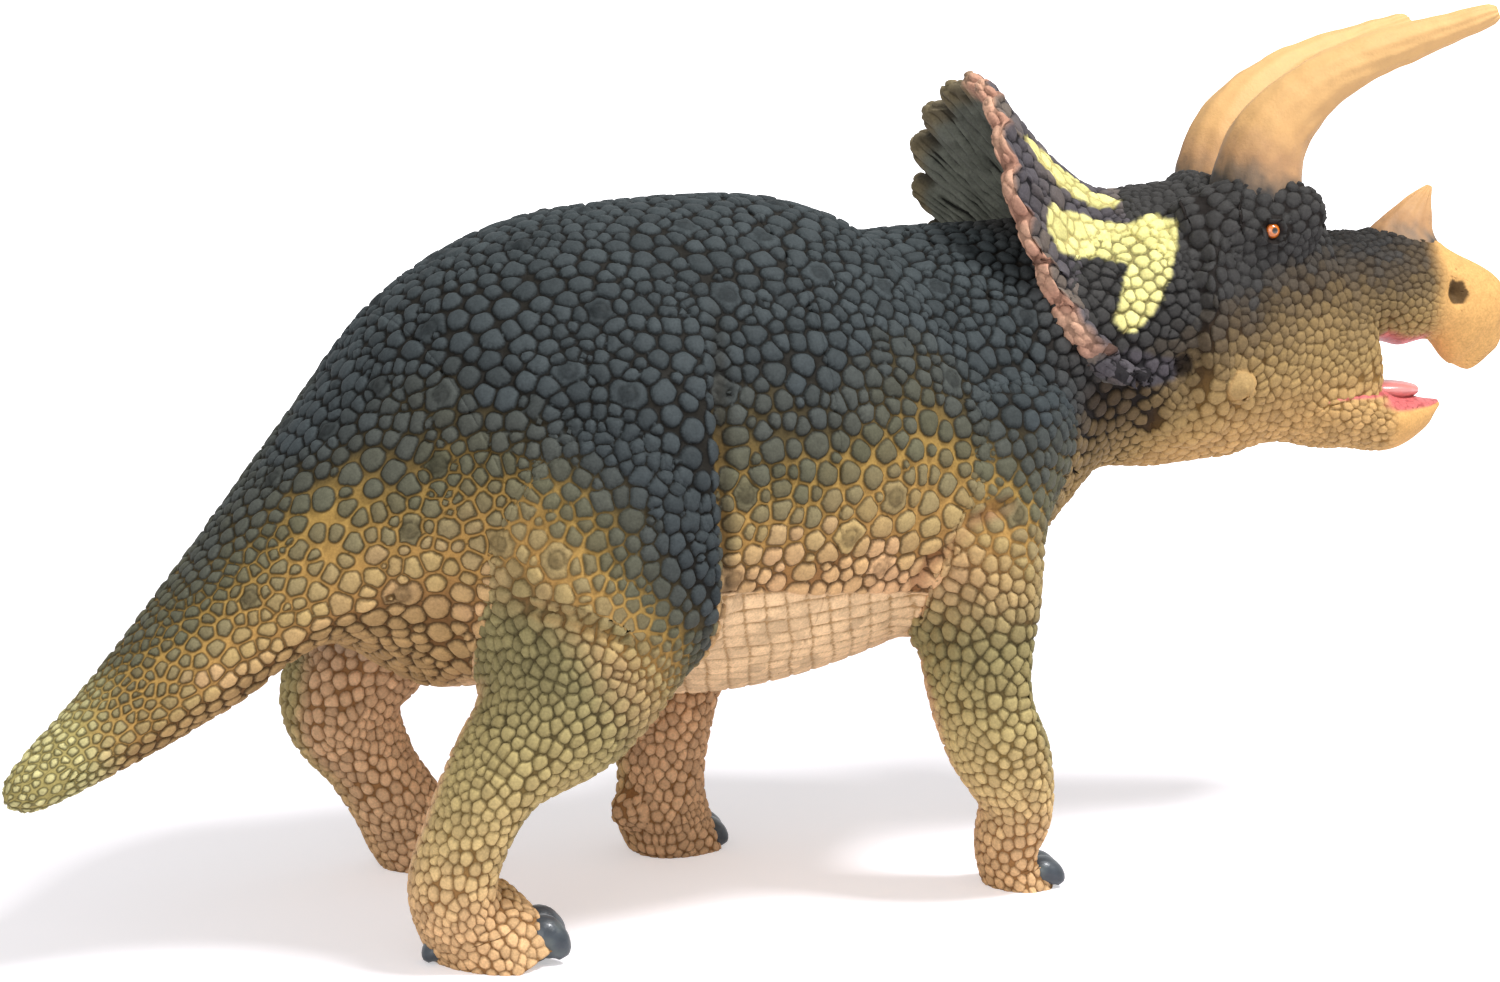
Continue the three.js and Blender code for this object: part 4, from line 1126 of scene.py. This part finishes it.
def scaly_vinyl(name, roughness, outline):
    """Painted vinyl with scales: crease paint below the edge, top paint above it, a dark wash along
    the foot of each scale, mottled and finely grained."""
    made = Finish(name)
    mottle, fine = made.grain(0.0011, 4.0), made.grain(0.00028, 3.0)
    ragged = made.layer("edge") + (fine - 0.5) * 0.14 + (mottle - 0.5) * 0.1
    base = made.mix(made.step(ragged, -0.08, 0.12), made.layer("crease", "Color"),
                    made.layer("paint", "Color"))
    rough_skin = 1 - made.layer("smooth")
    foot = (1 - made.step(ragged, 0.02, 0.3)) * made.step(ragged, -0.2, 0.0)
    base = made.shaded(base, 1 - foot * outline * rough_skin)
    base = made.shaded(base, (mottle * 0.5 + 0.75) * (fine * 0.7 + 0.65))
    height = made.step(ragged, -0.15, 0.35) * rough_skin * 0.2 + fine * 0.07 + mottle * 0.06
    rough = roughness + (mottle - 0.5) * 0.15 - made.layer("wet") * 0.3
    return made.end({"Base Color": base, "Roughness": rough, "Normal": made.bump(height, 0.0006),
                     "Specular IOR Level": 0.1})


def smooth_vinyl(name, roughness, coat, speckle):
    """Painted vinyl without scales: its paint, darker specks and a fine grain."""
    made = Finish(name)
    mottle, fine = made.grain(0.0016, 4.0), made.grain(0.0004, 3.0)
    base = made.shaded(made.layer("paint", "Color"), 1 + (mottle - 0.5) * speckle)
    return made.end({"Base Color": base, "Roughness": roughness + (mottle - 0.5) * 0.1,
                     "Coat Weight": coat, "Normal": made.bump(fine * 0.1 + mottle * 0.12, 0.0005)})


body_vinyl = scaly_vinyl("body_vinyl", 0.65, 0.62)
leg_vinyl = scaly_vinyl("leg_vinyl", 0.65, 0.3)
head_vinyl = scaly_vinyl("head_vinyl", 0.65, 0.22)
horn_vinyl = smooth_vinyl("horn_vinyl", 0.65, 0.0, 0.25)
claw_paint = smooth_vinyl("claw_paint", 0.4, 0.2, 0.7)
tongue_paint = smooth_vinyl("tongue_paint", 0.3, 0.5, 0.5)
eye_paint = smooth_vinyl("eye_paint", 0.15, 1.0, 0.3)


# Meshes

def triangles(rows, cols, edge=None):
    """Corners of the triangles of a closed grid. Each cell is cut along the diagonal that lies
    nearer to a crease, and a fan to one more point closes each end."""
    index = np.arange(rows * cols).reshape(rows, cols)
    a, b = index[:-1].ravel(), index[1:].ravel()
    d, c = np.roll(index, -1, 1)[:-1].ravel(), np.roll(index, -1, 1)[1:].ravel()
    straight = np.ones(len(a), bool) if edge is None else edge[a] + edge[c] <= edge[b] + edge[d]
    first = np.where(straight[:, None], np.stack([a, b, c], 1), np.stack([a, b, d], 1))
    second = np.where(straight[:, None], np.stack([a, c, d], 1), np.stack([b, c, d], 1))
    start, end = rows * cols, rows * cols + 1
    side, beside = index[0], np.roll(index[0], -1)
    fans = np.vstack([
        np.stack([np.full(cols, start), side, beside], 1),
        np.stack([np.full(cols, end), beside + (rows - 1) * cols, side + (rows - 1) * cols], 1)])
    return np.vstack([first, second, fans])


def piece(name, p, node, slot, material, layers):
    """One closed mesh from a grid, with what its vertices carry, riding on the root."""
    points = np.vstack([p.reshape(-1, 3), p[0].mean(0), p[-1].mean(0)])
    edge = layers["edge"].ravel() if "edge" in layers else None
    mesh = bpy.data.meshes.new(name)
    mesh.from_pydata((points + SHIFT) * METRES, [], triangles(*p.shape[:2], edge))
    mesh.shade_smooth()
    for layer, values in layers.items():
        is_colour = values.ndim == 3
        caps = np.stack([values[0].mean(0), values[-1].mean(0)])
        flat = np.concatenate([values.reshape(-1, 3) if is_colour else values.ravel(), caps])
        if is_colour:
            flat = np.hstack([flat, np.ones((len(flat), 1))])
        made = mesh.attributes.new(layer, "FLOAT_COLOR" if is_colour else "FLOAT", "POINT")
        made.data.foreach_set("color" if is_colour else "value", flat.astype(np.float32).ravel())
    mesh.materials.append(material)
    made = bpy.data.objects.new(name, mesh)
    bpy.context.scene.collection.objects.link(made)
    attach(made, "root")
    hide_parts(node)


LOWEST, HIGHEST = (np.array(corner) / METRES - SHIFT for corner in solid_box)


def boxed(p):
    """Points with nothing outside the solids' box."""
    return np.clip(p, LOWEST, HIGHEST)


trunk = skins["trunk"]
trunk_x = trunk.p[..., 0].mean(1)
TRUNK_CUTS = (COLLAR[0], -12, -50)
cuts = [int(np.argmax(trunk_x < x)) for x in TRUNK_CUTS]
for name, first, last in zip(("neck", "fore_body", "hind_body", "tail"),
                             [0] + cuts, cuts + [trunk.shape[0] - 1]):
    rows = slice(first, last + 1)
    layers = {key: values[rows] for key, values in trunk.layers.items()}
    place = ("head", "head_skin") if name == "neck" else ("torso", "body_skin")
    piece(name, boxed(trunk.p[rows]), *place, body_vinyl, layers)
for name in SCALY[1:]:
    node, slot, material = (name, "leg_skin", leg_vinyl) if name in LEG_SHARES else (
        name if name == "lower_jaw" else "head", "head_skin", head_vinyl)
    piece(name + "_skin", boxed(skins[name].p), node, slot, material, skins[name].layers)


# Horns and tongue

HORN_RIDGES = 11
NOSE_HORN_BASE = 14.5


def above_brow(p):
    """How far points of a horn lie above the line where the dark skin of the brow ends."""
    q = in_head(p)
    return q[..., 2] - np.interp(q[..., 0], [13.3, 17.6, 23.4, 27.8], [25.1, 24, 21.7, 20.4])


def ridged(skin):
    """A horn with faint ridges along it and an uneven surface."""
    wave = 0.12 * np.sin(2 * math.pi * HORN_RIDGES * skin.turn + 2 * noise(skin.p, 5, 51))
    return skin.p + skin.n * (0.5 * wave + 0.15 * noise(skin.p, 2, 52) - 0.15)[..., None]


for name in ("brow_horn_right", "brow_horn_left", "nose_horn"):
    skin = skins[name]
    high = above_brow(skin.p) if "brow" in name else in_head(skin.p)[..., 2] - NOSE_HORN_BASE
    high = high + 1.2 * noise(skin.p, 1.5, 53) + 0.8 * noise(skin.p, 0.7, 54)
    paint = ramp(high, [-1, 0.5, 3, 8, 16], ["3c3630", "7c6650", "b48a60", "d2a46a", "d8ac70"])
    node = name if "brow" in name else "head"
    piece(name + "_skin", boxed(ridged(skin)), node, "horn", horn_vinyl, {"paint": paint})
tongue = skins["tongue"]
pink = np.broadcast_to(colour("de8c87"), tongue.p.shape)
piece("tongue_skin", tongue.p, "tongue", "tongue", tongue_paint, {"paint": pink})


# Eyes

EYE_RADIUS, EYE_DEPTH, EYE_FACETS, EYE_POLE = 1.1, 0.75, 48, 0.03


def ball(centre, radius, axis):
    """Circles round an axis: centre + radius * (cos(down) * axis + sin(down) * (cos(turn) * across
    + sin(turn) * beyond))."""
    down = np.linspace(EYE_POLE, math.pi - EYE_POLE, EYE_FACETS)[:, None, None]
    turn = 2 * math.pi * np.arange(EYE_FACETS)[None, :, None] / EYE_FACETS
    across = unit(np.cross(axis, UP))
    ring = np.cos(turn) * across + np.sin(turn) * np.cross(axis, across)
    return centre + radius * (np.cos(down) * axis + np.sin(down) * ring), down[..., 0]


for side, name in ((-1, "eye_right"), (1, "eye_left")):
    outward = unit(np.array([0.147, 0.988 * side, 0.025]))
    centre = np.array(EYE) * [1, side, 1] - EYE_DEPTH * outward
    grid, down = ball(turned_head(centre), EYE_RADIUS, outward @ HEAD_TURN.T)
    far = EYE_RADIUS * np.sin(np.minimum(down, 1.5)) + 0 * grid[..., 0]
    paint = ramp(far, [0.36, 0.42, 0.8, 0.98], ["0c0808", "e07c24", "d06a1c", "20140c"])
    piece(name, grid, "head", "head_skin", eye_paint, {"paint": paint})


# Claws

CLAW_SHARES = [
    [-0.7, 0, 0.7, 0.45, 0.3, 0.4], [0, 0, 1, 0.95, 0.75, 0.95], [0.6, 0, 0.8, 0.85, 0.7, 0.8],
    [1.02, 0, 0.5, 0.55, 0.5, 0.5], [1.22, 0, 0.25, 0.2, 0.2, 0.2]]
# How big and how tall a leg's claws are
CLAW_SIZES = dict(zip(LEG_SHARES, ((2.5, 1.3), (2.1, 1.0), (2.2, 1.0), (2.1, 1.1))))
REAR_CLAW = (np.array([-57.8, -17.2, 0]), math.radians(195), 1.9, 1.0)


def claw(place, turn, size, tall):
    """A blunt claw from inside its toe to the ground, turned about the upright."""
    rows = np.array(CLAW_SHARES) * size * [1, 1, tall, 1, tall, tall]
    rows[:, 1] = rows[:, 0] * math.sin(turn)
    rows[:, 0] *= math.cos(turn)
    rows[:, :3] += place
    return loft(rows, step=CLAW_STEP)


claws = [("claw_hind_right_rear", "leg_hind_right", *REAR_CLAW)]
for leg, sizes in CLAW_SIZES.items():
    for k, (side, place) in enumerate(zip(("right", "middle", "left"), toe_places(leg, CLAW_SHARE))):
        name = leg.replace("leg", "claw") + "_" + side
        claws.append((name, leg, place, (k - 1) * TOE_SPREAD, *sizes))
for name, leg, *sizes in claws:
    grid = claw(*sizes)
    paint = ramp(noise(grid, 1.5, 61), [-0.6, 0, 0.7], ["2c343c", "3a424a", "56605f"])
    piece(name, boxed(grid), leg, "leg_skin", claw_paint, {"paint": paint})


# Camera at the photograph's view
CAMERA_PLACE, CAMERA_TARGET = np.array([-277.4, -505.7, 149.2]), np.array([0, 16, 45])
CAMERA_LENS, CAMERA_SENSOR = 115.2, 36


def shown(name, data, place=(0, 0, 0), aim=None):
    """A new object of the scene, turned to look at a point if one is given."""
    made = bpy.data.objects.new(name, data)
    made.location = place
    if aim is not None:
        made.rotation_euler = (Vector(aim) - Vector(place)).to_track_quat("-Z", "Y").to_euler()
    bpy.context.scene.collection.objects.link(made)
    return made


camera = shown("camera", bpy.data.cameras.new("camera"), (CAMERA_PLACE + SHIFT) * METRES,
               (CAMERA_TARGET + SHIFT) * METRES)
camera.data.lens, camera.data.sensor_width = CAMERA_LENS, CAMERA_SENSOR
bpy.context.scene.camera = camera
bpy.context.scene.view_settings.view_transform = "Standard"

# Floor, world and lamps
WHITE = (1, 1, 1, 1)
FLOOR_COLOUR, FLOOR_REACH = (0.8, 0.77, 0.82, 1), 3
FLOOR_GLOW, GLOW_FROM, GLOW_TO = 0.42, 0.15, 0.5  # the floor turns white between these distances
WORLD_LIGHT = 0.5

ground = Finish("pale_floor")
lit = ground.node("BsdfDiffuse", {}, {"Color": FLOOR_COLOUR})
place = ground.node("TexCoord", {}, {}, "Object")
away = ground.node("VectorMath", {"operation": "LENGTH"}, {0: place}, "Value")
strength = FLOOR_GLOW + ground.step(away, GLOW_FROM, GLOW_TO)
glow = ground.node("Emission", {}, {"Color": WHITE, "Strength": strength})
both = ground.node("AddShader", {}, {0: lit, 1: glow})
corners = [(x * FLOOR_REACH, y * FLOOR_REACH, 0) for x, y in ((-1, -1), (1, -1), (1, 1), (-1, 1))]
floor_mesh = bpy.data.meshes.new("floor")
floor_mesh.from_pydata(corners, [], [(0, 1, 2, 3)])
floor_mesh.materials.append(
    ground.surface(ground.node("MixShader", {}, {0: ground.seen(), 1: lit, 2: both})))
shown("floor", floor_mesh)

studio = Finish("studio", bpy.data.worlds)
soft, white = (studio.node("Background", {}, {"Color": WHITE, "Strength": light})
               for light in (WORLD_LIGHT, 1))
bpy.context.scene.world = studio.surface(
    studio.node("MixShader", {}, {0: studio.seen(), 1: soft, 2: white}), "World")


def lamp(name, place, aim, watts, size):
    """A soft square lamp that looks at a point."""
    made = shown(name, bpy.data.lights.new(name, "AREA"), place, aim)
    made.data.energy, made.data.size = watts, size


lamp("key_lamp", (0.24, -0.28, 0.68), (0, 0, 0.04), 5.4, 0.16)
lamp("fill_lamp", (-0.5, -0.55, 0.3), (0, 0, 0.05), 2.0, 0.5)
